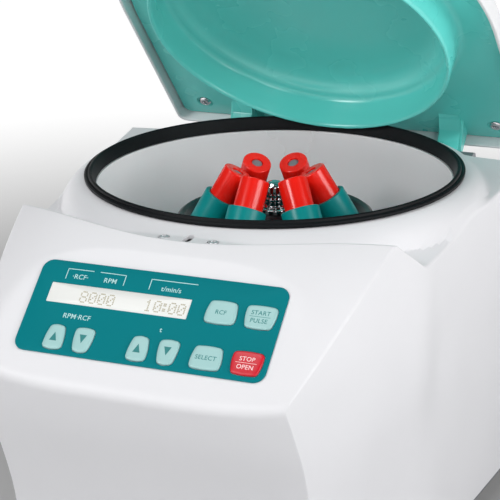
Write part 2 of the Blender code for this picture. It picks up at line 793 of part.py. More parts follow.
SHELL_PROFILE = [(0.35, crown(0.35)), (0.65, crown(0.65)), (0.86, crown(0.86)),
                 (0.94, crown(0.94) - 0.6), (0.975, 11.2), (0.993, 7.4), (1.0, 2.5),
                 (1.0, LID_RIM_Z)]
rings = [scaled(shell_out, r, z) for r, z in SHELL_PROFILE]
rings += [scaled(shell_in, 1.0, LID_RIM_Z)]
for r, z in reversed(SHELL_PROFILE[:-1]):
    rings.append(scaled(shell_in, r, z - SHELL_T * (1.0 if r < 0.95 else 0.6)))
ring_solid("lid_shell", rings, WHITE, lid_point, (MID[0], MID[1], 20.0),
           (MID[0], MID[1], 20.0 - SHELL_T))

liner_out = rim_outline(114.4, 120.6, -124.0, 0.024, 20.0, 2.0, 4.5, SEG_F, SEG_S)
LINER_PROFILE = [(40.0, 11.5), (77.0, 11.5), (82.5, 10.0), (87.0, 5.5), (89.3, -1.0),
                 (88.6, -17.0), (89.3, -20.2), (90.2, -21.0), (91.1, -20.3),
                 (91.6, -17.0), (91.8, -5.0), (93.4, -1.0), (96.5, LINER_Z)]
LINER_BACK = [(96.5, LINER_Z + 2.4), (92.0, LINER_Z + 2.4), (89.5, 8.6), (84.0, 13.0),
              (78.0, 13.6), (40.0, 13.6)]


def circle_like(outline, r, z):
    out = []
    for x, y in outline:
        a = math.atan2(y, x)
        out.append((r * math.cos(a), r * math.sin(a), z))
    return out


rings = [circle_like(liner_out, r, z) for r, z in LINER_PROFILE]
rings.append([(x, y, LINER_Z) for x, y in liner_out])
rings.append([(x, y, LINER_Z + 2.4) for x, y in liner_out])
rings += [circle_like(liner_out, r, z) for r, z in LINER_BACK]
liner = ring_solid("lid_liner", rings, TEAL_LINER, lid_point, (0, 0, 11.5), (0, 0, 13.6))

ARM = [(96.0, LINER_Z + 1.0), (120.0, LINER_Z + 1.0), (120.3, -10.0), (119.6, -20.5),
       (118.0, -26.0), (113.7, -28.3), (109.2, -26.6), (108.0, -21.0), (107.4, -12.0),
       (101.6, -3.0)]


def lid_yz(x0):
    return lambda u, v, w: lid_point(w + x0, u, v)


for sx in (-1, 1):
    lo, hi = (63.0, 77.0) if sx > 0 else (-77.0, -63.0)
    arm = prism("arm", ARM, lo, hi, TEAL_LINER, lid_yz(0.0))
    boolean(liner, arm, 'UNION')
    fin_lo, fin_hi = (76.5, 78.5) if sx > 0 else (-78.5, -76.5)
    fin = prism("fin", [(104.0, LINER_Z + 1.0), (118.5, LINER_Z + 1.0), (118.0, -18.0),
                        (114.0, -19.0)], fin_lo, fin_hi, TEAL_LINER, lid_yz(0.0))
    boolean(liner, fin, 'UNION')
    bore = lathe("bore", [(0, -20), (PIN_R + 0.35, -20), (PIN_R + 0.35, 20), (0, 20)],
                 STEEL, 16, axis=((sx * 70.0, HINGE_Y, HINGE_Z), (1, 0, 0)))
    boolean(liner, bore)

SCREWS = [(-98.5, 107.0), (98.5, 107.0), (-70.0, -74.0), (70.0, -74.0)]
for i, (x, y) in enumerate(SCREWS):
    seat = [(a * 1.0 + x, b + y) for a, b in rounded(9.6, 9.6, 4.79, 3)]
    boolean(liner, prism("seat", seat, LINER_Z - 1.5, LINER_Z + 1.2, TEAL_LINER, lid_point))
    hole = [(a + x, b + y) for a, b in rounded(4.4, 4.4, 2.19, 2)]
    boolean(liner, prism("hole", hole, LINER_Z - 1.5, LINER_Z + 4.0, TEAL_LINER, lid_point))
liner.location = liner.location


def lid_lathe(name, profile, mat, x, y, seg=14):
    verts_axis = (lid_point(x, y, 0.0),
                  Vector(lid_point(x, y, 1.0)) - Vector(lid_point(x, y, 0.0)))
    return lathe(name, profile, mat, seg, axis=verts_axis,
                 origin=lid_point(0, HINGE_Y, HINGE_Z))


for i, (x, y) in enumerate(SCREWS):
    top = 6.6
    lid_lathe("liner_screw_%d" % (i + 1),
              [(0, LINER_Z + 0.5), (1.3, LINER_Z + 0.5), (1.5, LINER_Z - 0.9),
               (3.0, LINER_Z - 0.7), (3.9, LINER_Z + 0.2), (3.9, LINER_Z + 0.85),
               (1.85, LINER_Z + 0.95), (1.85, top), (0, top)], STEEL, x, y, 14)

# lid hook: a plate with an eye, in the closed-lid frame
HOOK = [(-126.1, 0.05), (-119.1, 0.05), (-119.1, -27.0), (-120.6, -28.6),
        (-124.6, -28.6), (-126.1, -27.0)]
hook = prism("lid_hook", HOOK, -1.5, 1.5, STEEL, lid_yz(0.0),
             origin=lid_point(0, HINGE_Y, HINGE_Z))
eye = lathe("eye", [(0, -5), (2.1, -5), (2.1, 5), (0, 5)], STEEL, 14,
            axis=(lid_point(0, LATCH_Y, -22.0), (1, 0, 0)))
boolean(hook, eye)

# hinge pins and the blocks that carry them
for side, sx in (("left", -1), ("right", 1)):
    lathe("hinge_pin_" + side, [(0, -14.0), (PIN_R, -14.0), (PIN_R, 11.5), (0, 11.5)],
          STEEL, 16, axis=((sx * 75.5, HINGE_Y, HINGE_Z), (sx, 0, 0)))
    lo, hi = (79.6, 88.0) if sx > 0 else (-88.0, -79.6)
    block = prism("hinge_block_" + side,
                  [(104.0, Z_FLOOR + GAP), (123.0, Z_FLOOR + GAP), (121.0, -24.0),
                   (117.5, -17.8), (113.7, -16.6), (109.9, -17.8), (106.4, -24.0)],
                  lo, hi, GREY, lambda u, v, w: (w, u, v))
    bore = lathe("bore", [(0, -20), (PIN_R + 0.3, -20), (PIN_R + 0.3, 20), (0, 20)],
                 STEEL, 16, axis=((sx * 84.0, HINGE_Y, HINGE_Z), (1, 0, 0)))
    boolean(block, bore)

# ---------------------------------------------------------------- latch
latch = prism("latch_body", rounded(50.0, 15.0, 2.0, 1, 0.0, LATCH_Y), -45.0, -14.5, DARK)
boolean(latch, prism("c", rounded(5.6, 11.2, 0.5, 1, 0.0, LATCH_Y), -36.0, -10.0, DARK))
boolean(latch, lathe("c", [(0, -2.9), (1.95, -2.9), (1.95, 30), (0, 30)], DARK, 12,
                     axis=((0.0, LATCH_Y, -22.0), (1, 0, 0))))
for x in (-14.0, 14.0):
    boolean(latch, lathe("c", [(0, -22), (1.9, -22), (1.9, -10), (0, -10)], DARK, 12,
                         centre=(x, LATCH_Y)))
BOLT_REST = 3.2
lathe("latch_bolt", [(0, 0), (1.2, 0), (1.6, 0.6), (1.6, 19.0), (3.4, 19.0),
                     (3.4, 21.5), (0, 21.5)], STEEL, 12,
      axis=((BOLT_REST, LATCH_Y, -22.0), (1, 0, 0)),
      origin=(BOLT_REST, LATCH_Y, -22.0))
boolean(latch, lathe("c", [(0, 11.0), (3.9, 11.0), (3.9, 40), (0, 40)], DARK, 12,
                     axis=((0.0, LATCH_Y, -22.0), (1, 0, 0))))
for side, x in (("left", -14.0), ("right", 14.0)):
    lathe("latch_screw_" + side, [(0, -20.0), (1.6, -20.0), (1.6, -9.6), (2.6, -9.2),
                                  (2.6, -8.0), (1.4, -7.9), (1.2, -8.6), (0, -8.6)],
          STEEL, 12, centre=(x, LATCH_Y))

# ---------------------------------------------------------------- panel
overlay = prism("control_panel", rounded(PANEL_W, PANEL_H, PANEL_R, 4, 0, PANEL_H / 2),
                0.3, 1.1, TEAL_PANEL, panel_point)
KEYS = [("key_speed_up", -47.0, 44.0, 8.2, 11.4, 13.4, KEY_TEAL),
        ("key_speed_down", -31.3, 43.9, 11.4, 8.2, 13.4, KEY_TEAL),
        ("key_time_up", -0.5, 44.1, 8.2, 11.4, 13.4, KEY_TEAL),
        ("key_time_down", 15.3, 44.0, 11.4, 8.2, 13.4, KEY_TEAL),
        ("key_select", 36.3, 44.0, 14.4, 16.9, 12.4, KEY_TEAL),
        ("key_force", 36.5, 18.4, 14.4, 16.9, 12.4, KEY_TEAL),
        ("key_start", 57.2, 18.4, 16.8, 14.2, 12.4, KEY_TEAL),
        ("key_stop", 57.5, 44.0, 16.8, 14.2, 12.4, KEY_RED)]
for name, cu, cv, wt, wb, h, mat in KEYS:
    hole = trapezoid(cu, cv, wt, wb, h, 2.2, 2, inset=-0.4)
    boolean(overlay, prism("c", hole, -1, 3, TEAL_PANEL, panel_point))
    lower = trapezoid(cu, cv, wt, wb, h, 2.0, 2)
    upper = trapezoid(cu, cv, wt, wb, h, 2.0, 2, inset=0.5)
    prism(name, lower, 1.0, 2.3, mat, panel_point, origin=panel_point(cu, cv, 1.0),
          top_scale=upper)
WIN = (79.0, 11.9, -20.3, 18.85)
boolean(overlay, prism("c", rounded(WIN[0] + 0.6, WIN[1] + 0.6, 1.0, 1, WIN[2], WIN[3]),
                       -1, 3, TEAL_PANEL, panel_point))
prism("display_window", rounded(WIN[0], WIN[1], 0.8, 2, WIN[2], WIN[3]), 0.35, 0.95,
      CREAM, panel_point)
board = prism("control_board", rounded(118, 44, 1.5, 1, 0, 26.7), -16.0, -14.4, BOARD,
              panel_point)
boolean(board, prism("m", rounded(74, 7.4, 0.4, 1, -20.3, 18.9), -14.9, -0.6, BOARD,
                     panel_point), 'UNION')

# ---------------------------------------------------------------- rear fittings
rear_frame = lambda u, v, w: (u, Y_REAR + w, v)
inlet = prism("mains_inlet", rounded(27.8, 19.8, 1.4, 2, -62, -160), -14.0, 0.3, DARK,
              rear_frame)
boolean(inlet, prism("m", rounded(32, 24, 2.0, 2, -62, -160), 0.3, 2.3, DARK,
                     rear_frame), 'UNION')
boolean(inlet, prism("c", rounded(24.0, 16.0, 3.0, 2, -62, -160), -11.0, 4.0, DARK,
                     rear_frame))
for du, dv in ((-7.0, -1.0), (7.0, -1.0), (0.0, 3.0)):
    boolean(inlet, prism("m", rounded(2.0, 4.0, 0.3, 1, -62 + du, -160 + dv), -12.0,
                         -1.0, STEEL, rear_frame), 'UNION')
frame = prism("switch_frame", rounded(13.8, 20.8, 1.0, 2, -22, -160), -13.0, 0.3, DARK,
              rear_frame)
boolean(frame, prism("m", rounded(18, 25, 1.6, 2, -22, -160), 0.3, 2.0, DARK,
                     rear_frame), 'UNION')
boolean(frame, prism("c", rounded(11.4, 18.4, 0.4, 1, -22, -160), -10.5, 4.0, DARK,
                     rear_frame))
# rocker: a wedge-faced block on a cross axis, resting on one side
ROCK_Y, ROCK_TILT = Y_REAR - 3.0, math.radians(8.0)
rock = [(-8.6, 0.0), (-8.6, 3.6), (0.0, 3.0), (8.6, 3.6), (8.6, 0.0), (3.0, -5.5),
        (-3.0, -5.5)]
ct, st_ = math.cos(ROCK_TILT), math.sin(ROCK_TILT)
rock = [(-160 + v * ct - w * st_, ROCK_Y + v * st_ + w * ct) for v, w in rock]
prism("mains_switch", rock, -22 - 5.3, -22 + 5.3, DARK, lambda u, v, w: (w, v, u),
      origin=(-22, ROCK_Y, -160))
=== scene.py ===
import bpy
import bmesh
import math
from mathutils import Matrix, Vector

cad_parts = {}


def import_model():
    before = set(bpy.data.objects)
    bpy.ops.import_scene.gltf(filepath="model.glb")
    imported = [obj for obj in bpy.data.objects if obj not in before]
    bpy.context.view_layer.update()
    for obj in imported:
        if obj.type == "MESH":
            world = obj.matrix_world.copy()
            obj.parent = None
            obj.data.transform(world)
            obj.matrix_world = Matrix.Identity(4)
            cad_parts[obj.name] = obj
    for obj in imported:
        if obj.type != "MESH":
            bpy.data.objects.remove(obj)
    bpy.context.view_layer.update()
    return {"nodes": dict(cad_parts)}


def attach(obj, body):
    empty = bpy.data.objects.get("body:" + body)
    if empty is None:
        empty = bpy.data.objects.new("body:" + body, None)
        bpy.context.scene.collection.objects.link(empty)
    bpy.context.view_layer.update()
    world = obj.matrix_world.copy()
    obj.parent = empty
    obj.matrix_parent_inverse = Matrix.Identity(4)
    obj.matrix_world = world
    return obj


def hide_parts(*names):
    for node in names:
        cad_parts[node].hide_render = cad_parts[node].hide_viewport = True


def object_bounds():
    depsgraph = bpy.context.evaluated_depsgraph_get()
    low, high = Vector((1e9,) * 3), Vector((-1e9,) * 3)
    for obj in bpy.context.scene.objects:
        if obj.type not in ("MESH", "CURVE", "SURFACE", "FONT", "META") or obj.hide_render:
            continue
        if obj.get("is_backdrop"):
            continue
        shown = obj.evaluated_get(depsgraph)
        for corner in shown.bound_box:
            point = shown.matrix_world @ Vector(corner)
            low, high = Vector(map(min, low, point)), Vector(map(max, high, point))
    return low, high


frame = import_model()

# ---------------------------------------------------------------- dimensions
# Design frame in millimetres: bowl axis at X = Y = 0, gasket top at Z = 0.
MM = 0.001
RIM_HEIGHT = 213.0
Y_SHIFT = 30.9

WALL = 2.2
HOLE_R = 107.2
DRUM_R = 121.5
Z_BOTTOM = -201.0
Z_FLOOR = -33.0
Y_STEP = 79.0
Y_REAR = 137.5
REAR_R = 20.0

PANEL_TILT = math.radians(40.55)
PANEL_Y = -150.76
PANEL_Z = -16.79
PANEL_W, PANEL_H, PANEL_R = 137.0, 53.4, 6.0

HINGE_Y, HINGE_Z = 113.7, -22.3
LID_OPEN = math.radians(47.05)

TUBE_N = 6
TUBE_PHASE = math.radians(20.0)
TUBE_TILT = math.radians(30.0)
TUBE_TOP_R, TUBE_TOP_Z = 20.9, -4.8
TUBE_R, TUBE_LEN = 8.5, 88.0
SLEEVE_R, SLEEVE_BORE, SLEEVE_START, SLEEVE_END = 11.2, 8.9, 18.0, 92.0
LATCH_Y = -122.6

PLAN = [(-206.0, 74.6), (-200.2, 77.4), (-176.0, 88.2), (-146.1, 99.4),
        (-104.6, 109.8), (-79.2, 115.9), (-44.0, 119.3), (0.0, 123.1),
        (55.0, 127.9), (110.0, 132.6), (140.0, 134.9)]
FRONT = [(-201.0, -164.0), (-146.0, -169.7), (-115.5, -178.2),
         (-86.7, -189.8), (-59.2, -200.2), (-50.0, -205.0)]
LEAN = [(-201.0, -8.6), (-146.0, -5.2), (-115.5, -0.9), (-86.7, 4.0),
        (-59.4, 5.1), (-22.0, 0.0), (0.0, -3.0)]

N_FRONT, N_SIDE, N_ARC, N_STEP = 48, 30, 40, 6
N_WALL, N_FLOOR, N_NOSE = 16, 8, 5


# ---------------------------------------------------------------- curves
def spline(knots, t):
    n = len(knots)
    if t <= knots[0][0]:
        return knots[0][1]
    if t >= knots[-1][0]:
        return knots[-1][1]
    h = [knots[i + 1][0] - knots[i][0] for i in range(n - 1)]
    d = [(knots[i + 1][1] - knots[i][1]) / h[i] for i in range(n - 1)]
    m = [d[0]] + [0.0] * (n - 2) + [d[-1]]
    for i in range(1, n - 1):
        if d[i - 1] * d[i] > 0:
            w1, w2 = 2 * h[i] + h[i - 1], h[i] + 2 * h[i - 1]
            m[i] = (w1 + w2) / (w1 / d[i - 1] + w2 / d[i])
    for i in range(n - 1):
        if t <= knots[i + 1][0]:
            s = (t - knots[i][0]) / h[i]
            a, b = knots[i][1], knots[i + 1][1]
            return ((2 * s ** 3 - 3 * s * s + 1) * a + (s ** 3 - 2 * s * s + s) * h[i] * m[i]
                    + (-2 * s ** 3 + 3 * s * s) * b + (s ** 3 - s * s) * h[i] * m[i + 1])
    return knots[-1][1]


def smooth(a, b, t):
    s = min(1.0, max(0.0, (t - a) / (b - a)))
    return s * s * (3 - 2 * s)


def smax(a, b, k):
    h = max(k - abs(a - b), 0.0) / k
    return max(a, b) + h * h * k * 0.25


def smin(a, b, k):
    return -smax(-a, -b, k)


# ---------------------------------------------------------------- body shape
def half_width(y, z):
    w = smooth(-55.0, -99.0, y)
    lean = spline(LEAN, z) * w
    draft = 0.020 * min(0.0, z + 22.0) * (1.0 - w)
    over = max(0.0, y - (Y_REAR - REAR_R))
    corner = REAR_R - math.sqrt(max(0.0, REAR_R ** 2 - over * over))
    return spline(PLAN, y) + lean + draft - corner


def plane_z(y):
    return PANEL_Z + (y - PANEL_Y) * math.tan(PANEL_TILT)


def wing_z(y):
    s = min(1.05, max(-0.05, (-y - 104.6) / 95.6))
    return -4.18 - 55.2 * (0.677 * s + 0.323 * s * s)


def vault_z(x, y):
    z = wing_z(y)
    xe = half_width(y, z)
    return z + 12.0 * (1.0 - min(1.0, abs(x) / xe) ** 4)


def fascia_z(x, y):
    return smin(plane_z(y), vault_z(x, y), 0.4)


def top_y(x):
    x = min(abs(x), 107.4)
    return -133.4 + 214.5 - math.sqrt(214.5 ** 2 - x * x)


def flat_y(x):
    ax = abs(x)

    def cross(q):
        lo, hi = -165.0, top_y(q) - 0.5
        for _ in range(40):
            mid = 0.5 * (lo + hi)
            if vault_z(q, mid) > plane_z(mid):
                lo = mid
            else:
                hi = mid
        return 0.5 * (lo + hi)

    if ax <= 60.0:
        return cross(ax)
    y0 = cross(60.0)
    slope = (cross(60.0) - cross(56.0)) / 4.0
    return y0 + slope * 14.0 * (1.0 - math.exp(-(ax - 60.0) / 14.0))


def edge_z(y):
    return -22.67 + 0.0884 * (y + 66.0)


def collar_z(r):
    t = min(1.0, max(0.0, (r - 107.0) / 17.0))
    return -4.1 - 19.0 * (1.0 - math.sqrt(1.0 - t * t)) - 3.0 * max(0.0, r - 124.0)


def deck_z(x, y):
    r = math.hypot(x, y)
    e = edge_z(y)
    q = min(1.0, abs(x) / spline(PLAN, y))
    base = e + (-7.2 - e) * (1.0 - q * q)
    xb = min(abs(x), 107.4)
    back = vault_z(xb, top_y(xb)) - 0.79 * (y - top_y(xb))
    z = smax(collar_z(r), base, 5.0)
    z = smax(z, back, 2.5)
    flat = smooth(118.0, 110.0, r)
    return flat * min(z, collar_z(r) + 0.05) + (1.0 - flat) * z


def nose_y(u):
    return -204.8 + 4.6 * abs(u) ** 4


def chord(points):
    acc = [0.0]
    for a, b in zip(points, points[1:]):
        acc.append(acc[-1] + math.dist(a, b))
    return [v / acc[-1] for v in acc]


def body_skin():
    """Open outer surface of the housing as quad patches, by name."""
    patches = {}
    us = [-1.0 + 2.0 * i / N_FRONT for i in range(N_FRONT + 1)]

    # front wall; its last rows are the lower half of the nose rounding
    ts = [i / (N_WALL - 1) * 0.965 for i in range(N_WALL)] + [1.0]
    lower = []
    for t in ts:
        row = []
        ze = Z_BOTTOM + (plane_z(nose_y(1.0)) - Z_BOTTOM) * t
        xe = half_width(spline(FRONT, ze), ze)
        y = spline(FRONT, ze)
        for u in us:
            z = Z_BOTTOM + (plane_z(nose_y(u)) - Z_BOTTOM) * t
            row.append((u * xe, y - 4.6 * (1.0 - abs(u) ** 4), z))
        lower.append(row)
    patches["lower"] = lower

    # fascia: flat face, then the vaulted band above it
    rows = [0.0, 0.08] + [0.08 + 0.92 * i / 12 for i in range(1, 13)]
    rows += [1.0 + 0.86 * i / 9 for i in range(1, 10)] + [2.0]
    fascia = []
    for v in rows:
        ye0 = nose_y(1.0)
        yf = flat_y(97.0)
        ye = ye0 + (yf - ye0) * v if v <= 1 else yf + (-104.6 - yf) * (v - 1)
        xe = half_width(ye, wing_z(ye))
        row = []
        for u in us:
            x = u * xe
            yn = nose_y(u)
            ya = flat_y(x) if abs(u) < 1 else yf
            y = yn + (ya - yn) * v if v <= 1 else ya + (top_y(x) - ya) * (v - 1)
            if abs(u) == 1:
                y = ye
            z = fascia_z(x, y) if abs(u) < 1 else wing_z(y)
            if v == 0:
                z = plane_z(y)
            if v == 2:
                z = vault_z(x, y)
            row.append((x, y, z))
        fascia.append(row)
    # nose: an arc from the wall to the flat face in place of the sharp edge
    wall_row, tip, face_row = lower[-2], fascia[0], fascia[1]

    def nose(s):
        return [tuple((1 - s) ** 2 * a[k] + 2 * s * (1 - s) * b[k] + s * s * c[k]
                      for k in range(3)) for a, b, c in zip(wall_row, tip, face_row)]

    half = [0.5 * i / N_NOSE for i in range(1, N_NOSE + 1)]
    lower[-1:] = [nose(s) for s in half]
    fascia[:1] = [nose(1.0 - s) for s in reversed(half)]
    ts = ts[:-1] + [ts[-2] + (1.0 - ts[-2]) * 2 * s for s in half]
    patches["fascia"] = fascia

    front = fascia[-1]
    ys = [-104.6, -101.5, -98.0, -94.0, -90.0, -86.0, -82.5, -79.2, -76.0, -72.5, -69.0]
    k = N_SIDE - len(ys) + 1
    ys += [-69.0 + (Y_STEP + 69.0) * i / k for i in range(1, k + 1)]

    def deck_edge(y):
        if y <= -104.6:
            return front[-1]
        z = deck_z(half_width(y, edge_z(y)), y)
        return (half_width(y, z), y, z)

    right = [deck_edge(y) for y in ys]
    xd = math.sqrt(DRUM_R ** 2 - Y_STEP ** 2)
    a0 = math.atan2(Y_STEP, xd)
    rear = [right[-1]]
    for i in range(1, N_STEP + 1):
        x = right[-1][0] + (xd - right[-1][0]) * i / N_STEP
        rear.append((x, Y_STEP, deck_z(x, Y_STEP)))
    for i in range(1, N_ARC + 1):
        a = a0 + (math.pi - 2 * a0) * i / N_ARC
        x, y = DRUM_R * math.cos(a), DRUM_R * math.sin(a)
        rear.append((x, y, deck_z(x, y)))
    for i in range(1, N_STEP + 1):
        x = -xd + (-right[-1][0] + xd) * i / N_STEP
        rear.append((x, Y_STEP, deck_z(x, Y_STEP) if i < N_STEP else right[-1][2]))
    left = [(-p[0], p[1], p[2]) for p in reversed(right)]
    loop = front + right[1:] + rear[1:] + left[1:-1]
    steps = [0.82 * i / 28.0 for i in range(29)] + [1.0]
    rings = []
    for w in steps:
        ring = []
        for p in loop:
            a = math.atan2(p[1], p[0])
            q = (HOLE_R * math.cos(a), HOLE_R * math.sin(a))
            x, y = q[0] + (p[0] - q[0]) * w, q[1] + (p[1] - q[1]) * w
            ring.append((x, y, p[2] if w == 1.0 else deck_z(x, y)))
        ring.append(ring[0])
        rings.append(ring)
    patches["deck"] = rings

    low = [(p[0], p[1], Z_FLOOR) for p in rear]
    xf = half_width(Y_STEP, Z_FLOOR)
    low[0], low[-1] = (xf, Y_STEP, Z_FLOOR), (-xf, Y_STEP, Z_FLOOR)
    step = []
    for t in (0.0, 0.3, 0.7, 1.0):
        step.append([tuple(a[k] * (1 - t) + b[k] * t for k in range(3))
                     for a, b in zip(rear, low)])
    patches["step"] = step
    fy = [Y_STEP + (Y_REAR - REAR_R - Y_STEP) * i / N_FLOOR for i in range(N_FLOOR + 1)]
    fy += [Y_REAR - REAR_R + REAR_R * math.sin(math.pi / 2 * i / 6.0) for i in range(1, 7)]
    side_r = [(half_width(y, Z_FLOOR), y, Z_FLOOR) for y in fy]
    xr = side_r[-1][0]
    n = len(rear) - 1
    cr = chord([p[:2] for p in low])
    back = [(xr - 2 * xr * cr[i], Y_REAR, Z_FLOOR) for i in range(n + 1)]
    floor = []
    for q in side_r:
        t = (q[1] - Y_STEP) / (Y_REAR - Y_STEP)
        span = (1 - t) * low[0][0] + t * back[0][0]
        floor.append([(((1 - t) * e[0] + t * g[0]) * q[0] / span,
                       (1 - t) * e[1] + t * g[1], Z_FLOOR)
                      for e, g in zip(low, back)])
    patches["floor"] = floor

    wall = []
    for t in ts:
        z = Z_FLOOR + (Z_BOTTOM - Z_FLOOR) * t
        x = half_width(Y_REAR, z)
        wall.append([(x - 2 * x * cr[i], Y_REAR, z) for i in range(n + 1)])
    # same number of rows as the front wall, for the side patches
    patches["rear"] = wall

    top = ([row[-1] for row in fascia] + right[1:] + [step[1][0], step[2][0], low[0]]
           + side_r[1:])
    st = chord([p[1:] for p in top])
    y0 = spline(FRONT, Z_BOTTOM)
    nb = len(top) - 1 - 6
    bottom = [(y0 + (Y_REAR - REAR_R - y0) * i / nb, Z_BOTTOM) for i in range(nb + 1)]
    bottom += [(Y_REAR - REAR_R + REAR_R * math.sin(math.pi / 2 * i / 6.0), Z_BOTTOM)
               for i in range(1, 7)]
    fr = [(row[-1][1], row[-1][2]) for row in lower]
    bk = [(row[0][1], row[0][2]) for row in reversed(wall)]
    tops = [(p[1], p[2]) for p in top]
    # the rows are close together at the nose only, and evenly spaced behind it
    tu = [i / (len(ts) - 1.0) for i in range(len(ts))]
    bkz = [Z_BOTTOM + (Z_FLOOR - Z_BOTTOM) * t for t in tu]
    bk = [(Y_REAR, z) for z in bkz]
    patches["rear"] = []
    for z in reversed(bkz):
        x = half_width(Y_REAR, z)
        patches["rear"].append([(x - 2 * x * cr[i], Y_REAR, z) for i in range(n + 1)])
    grid = []
    for j in range(len(ts)):
        row = []
        for i in range(len(st)):
            k = min(1.0, st[i] / 0.12)
            t = (1 - k) * ts[j] + k * tu[j]
            row.append(tuple(
                (1 - t) * bottom[i][c] + t * tops[i][c]
                + (1 - st[i]) * (fr[j][c] - (1 - ts[j]) * bottom[0][c] - ts[j] * tops[0][c])
                + st[i] * (bk[j][c] - (1 - tu[j]) * bottom[-1][c] - tu[j] * tops[-1][c])
                for c in range(2)))
        grid.append(row)
    for sign, name in ((1, "right"), (-1, "left")):
        rows = []
        for j, row in enumerate(grid):
            line = []
            for i, (y, z) in enumerate(row):
                if j == len(grid) - 1:
                    p = top[i]
                    line.append((sign * p[0], p[1], p[2]))
                elif i == 0:
                    p = lower[j][-1]
                    line.append((sign * p[0], p[1], p[2]))
                else:
                    line.append((sign * half_width(y, z), y, z))
            rows.append(line)
        patches[name] = rows
    return patches


# ---------------------------------------------------------------- materials
def lin(c):
    out = []
    for v in c:
        v /= 255.0
        out.append(v / 12.92 if v <= 0.04045 else ((v + 0.055) / 1.055) ** 2.4)
    return tuple(out)


def material(name, rgb, rough=0.4, metal=0.0, bump=0.0, grain=900.0, spread=0.05,
             tint=0.02, coat=0.0, ior=1.5, spec=0.5):
    """Principled surface: fine grain, roughness variation, slight tone variation."""
    m = bpy.data.materials.new(name)
    m.use_nodes = True
    nt = m.node_tree
    b = nt.nodes["Principled BSDF"]
    b.inputs["Metallic"].default_value = metal
    b.inputs["IOR"].default_value = ior
    b.inputs["Coat Weight"].default_value = coat
    b.inputs["Specular IOR Level"].default_value = spec
    b.inputs["Coat Roughness"].default_value = 0.12
    co = nt.nodes.new("ShaderNodeTexCoord")
    wide = nt.nodes.new("ShaderNodeTexNoise")
    wide.inputs["Scale"].default_value = 22.0
    wide.inputs["Detail"].default_value = 3.0
    nt.links.new(co.outputs["Object"], wide.inputs["Vector"])
    mr = nt.nodes.new("ShaderNodeMapRange")
    mr.inputs["From Min"].default_value = 0.3
    mr.inputs["From Max"].default_value = 0.7
    mr.inputs["To Min"].default_value = max(0.02, rough - spread)
    mr.inputs["To Max"].default_value = min(1.0, rough + spread)
    nt.links.new(wide.outputs["Fac"], mr.inputs["Value"])
    nt.links.new(mr.outputs["Result"], b.inputs["Roughness"])
    mix = nt.nodes.new("ShaderNodeMix")
    mix.data_type = 'RGBA'
    base = lin(rgb)
    mix.inputs[6].default_value = (*[v * (1 - tint) for v in base], 1)
    mix.inputs[7].default_value = (*[min(1, v * (1 + tint)) for v in base], 1)
    nt.links.new(wide.outputs["Fac"], mix.inputs[0])
    nt.links.new(mix.outputs[2], b.inputs["Base Color"])
    if bump > 0:
        fine = nt.nodes.new("ShaderNodeTexNoise")
        fine.inputs["Scale"].default_value = grain
        fine.inputs["Detail"].default_value = 2.0
        nt.links.new(co.outputs["Object"], fine.inputs["Vector"])
        bp = nt.nodes.new("ShaderNodeBump")
        bp.inputs["Strength"].default_value = bump
        bp.inputs["Distance"].default_value = 0.0001
        nt.links.new(fine.outputs["Fac"], bp.inputs["Height"])
        nt.links.new(bp.outputs["Normal"], b.inputs["Normal"])
    m.diffuse_color = (*base, 1)
    return m


WHITE = material("white_shell", (223, 223, 226), 0.46, bump=0.10, grain=1500)
GREY_SHELL = material("lid_shell_white", (226, 227, 229), 0.38, bump=0.10, grain=1500)
TEAL_LINER = material("teal_liner", (97, 209, 201), 0.26, bump=0.05, grain=1200, spec=0.7)
TEAL_PANEL = material("teal_panel", (0, 118, 126), 0.5, bump=0.2, grain=1600, tint=0.03, spec=0.06)
KEY_TEAL = material("key_pale", (154, 196, 195), 0.42, bump=0.12, grain=1600)
KEY_RED = material("key_red", (200, 16, 38), 0.40, bump=0.12, grain=1600)
CREAM = material("display_cream", (228, 229, 226), 0.45, bump=0.0)
DIGIT = material("digit_tan", (178, 172, 150), 0.5, spec=0.2)
INK_LIGHT = material("ink_light", (172, 216, 216), 0.5)
INK_TEAL = material("ink_teal", (24, 122, 122), 0.5)
INK_ROSE = material("ink_rose", (246, 208, 208), 0.5)
RUBBER = material("rubber_black", (15, 17, 20), 0.5, bump=0.25, grain=700, spread=0.08, spec=0.14)
BOWL = material("bowl_metal", (252, 248, 250), 0.32, metal=0.15, bump=0.04, grain=2000)
ROTOR = material("rotor_black", (30, 32, 36), 0.30, bump=0.08)
SLEEVE = material("sleeve_teal", (0, 142, 142), 0.32, bump=0.06, spec=0.3)
RED = material("tube_red", (246, 30, 18), 0.24, bump=0.05, coat=0.15, spec=0.4)
PLUG = material("tube_plug", (138, 132, 138), 0.36, metal=0.2)
CHROME = material("bright_metal", (200, 200, 203), 0.10, metal=1.0)
STEEL = material("turned_metal", (168, 168, 170), 0.26, metal=1.0, bump=0.06)
PALESTEEL = material("pale_steel", (206, 207, 210), 0.34, metal=0.55, bump=0.05)
DARKSTEEL = material("dark_screw", (52, 54, 60), 0.28, metal=0.9, bump=0.05)
GREY = material("frame_grey", (128, 130, 134), 0.45, metal=0.3, bump=0.1)
DARK = material("dark_plastic", (26, 27, 30), 0.42, bump=0.15)
BOARD = material("board_green", (34, 96, 58), 0.45, bump=0.1)
HOLLOW = material("hollow_black", (14, 15, 17), 0.6)


# ---------------------------------------------------------------- builders
def world(p):
    return Vector((p[0] * MM, (p[1] + Y_SHIFT) * MM, (p[2] + RIM_HEIGHT) * MM))


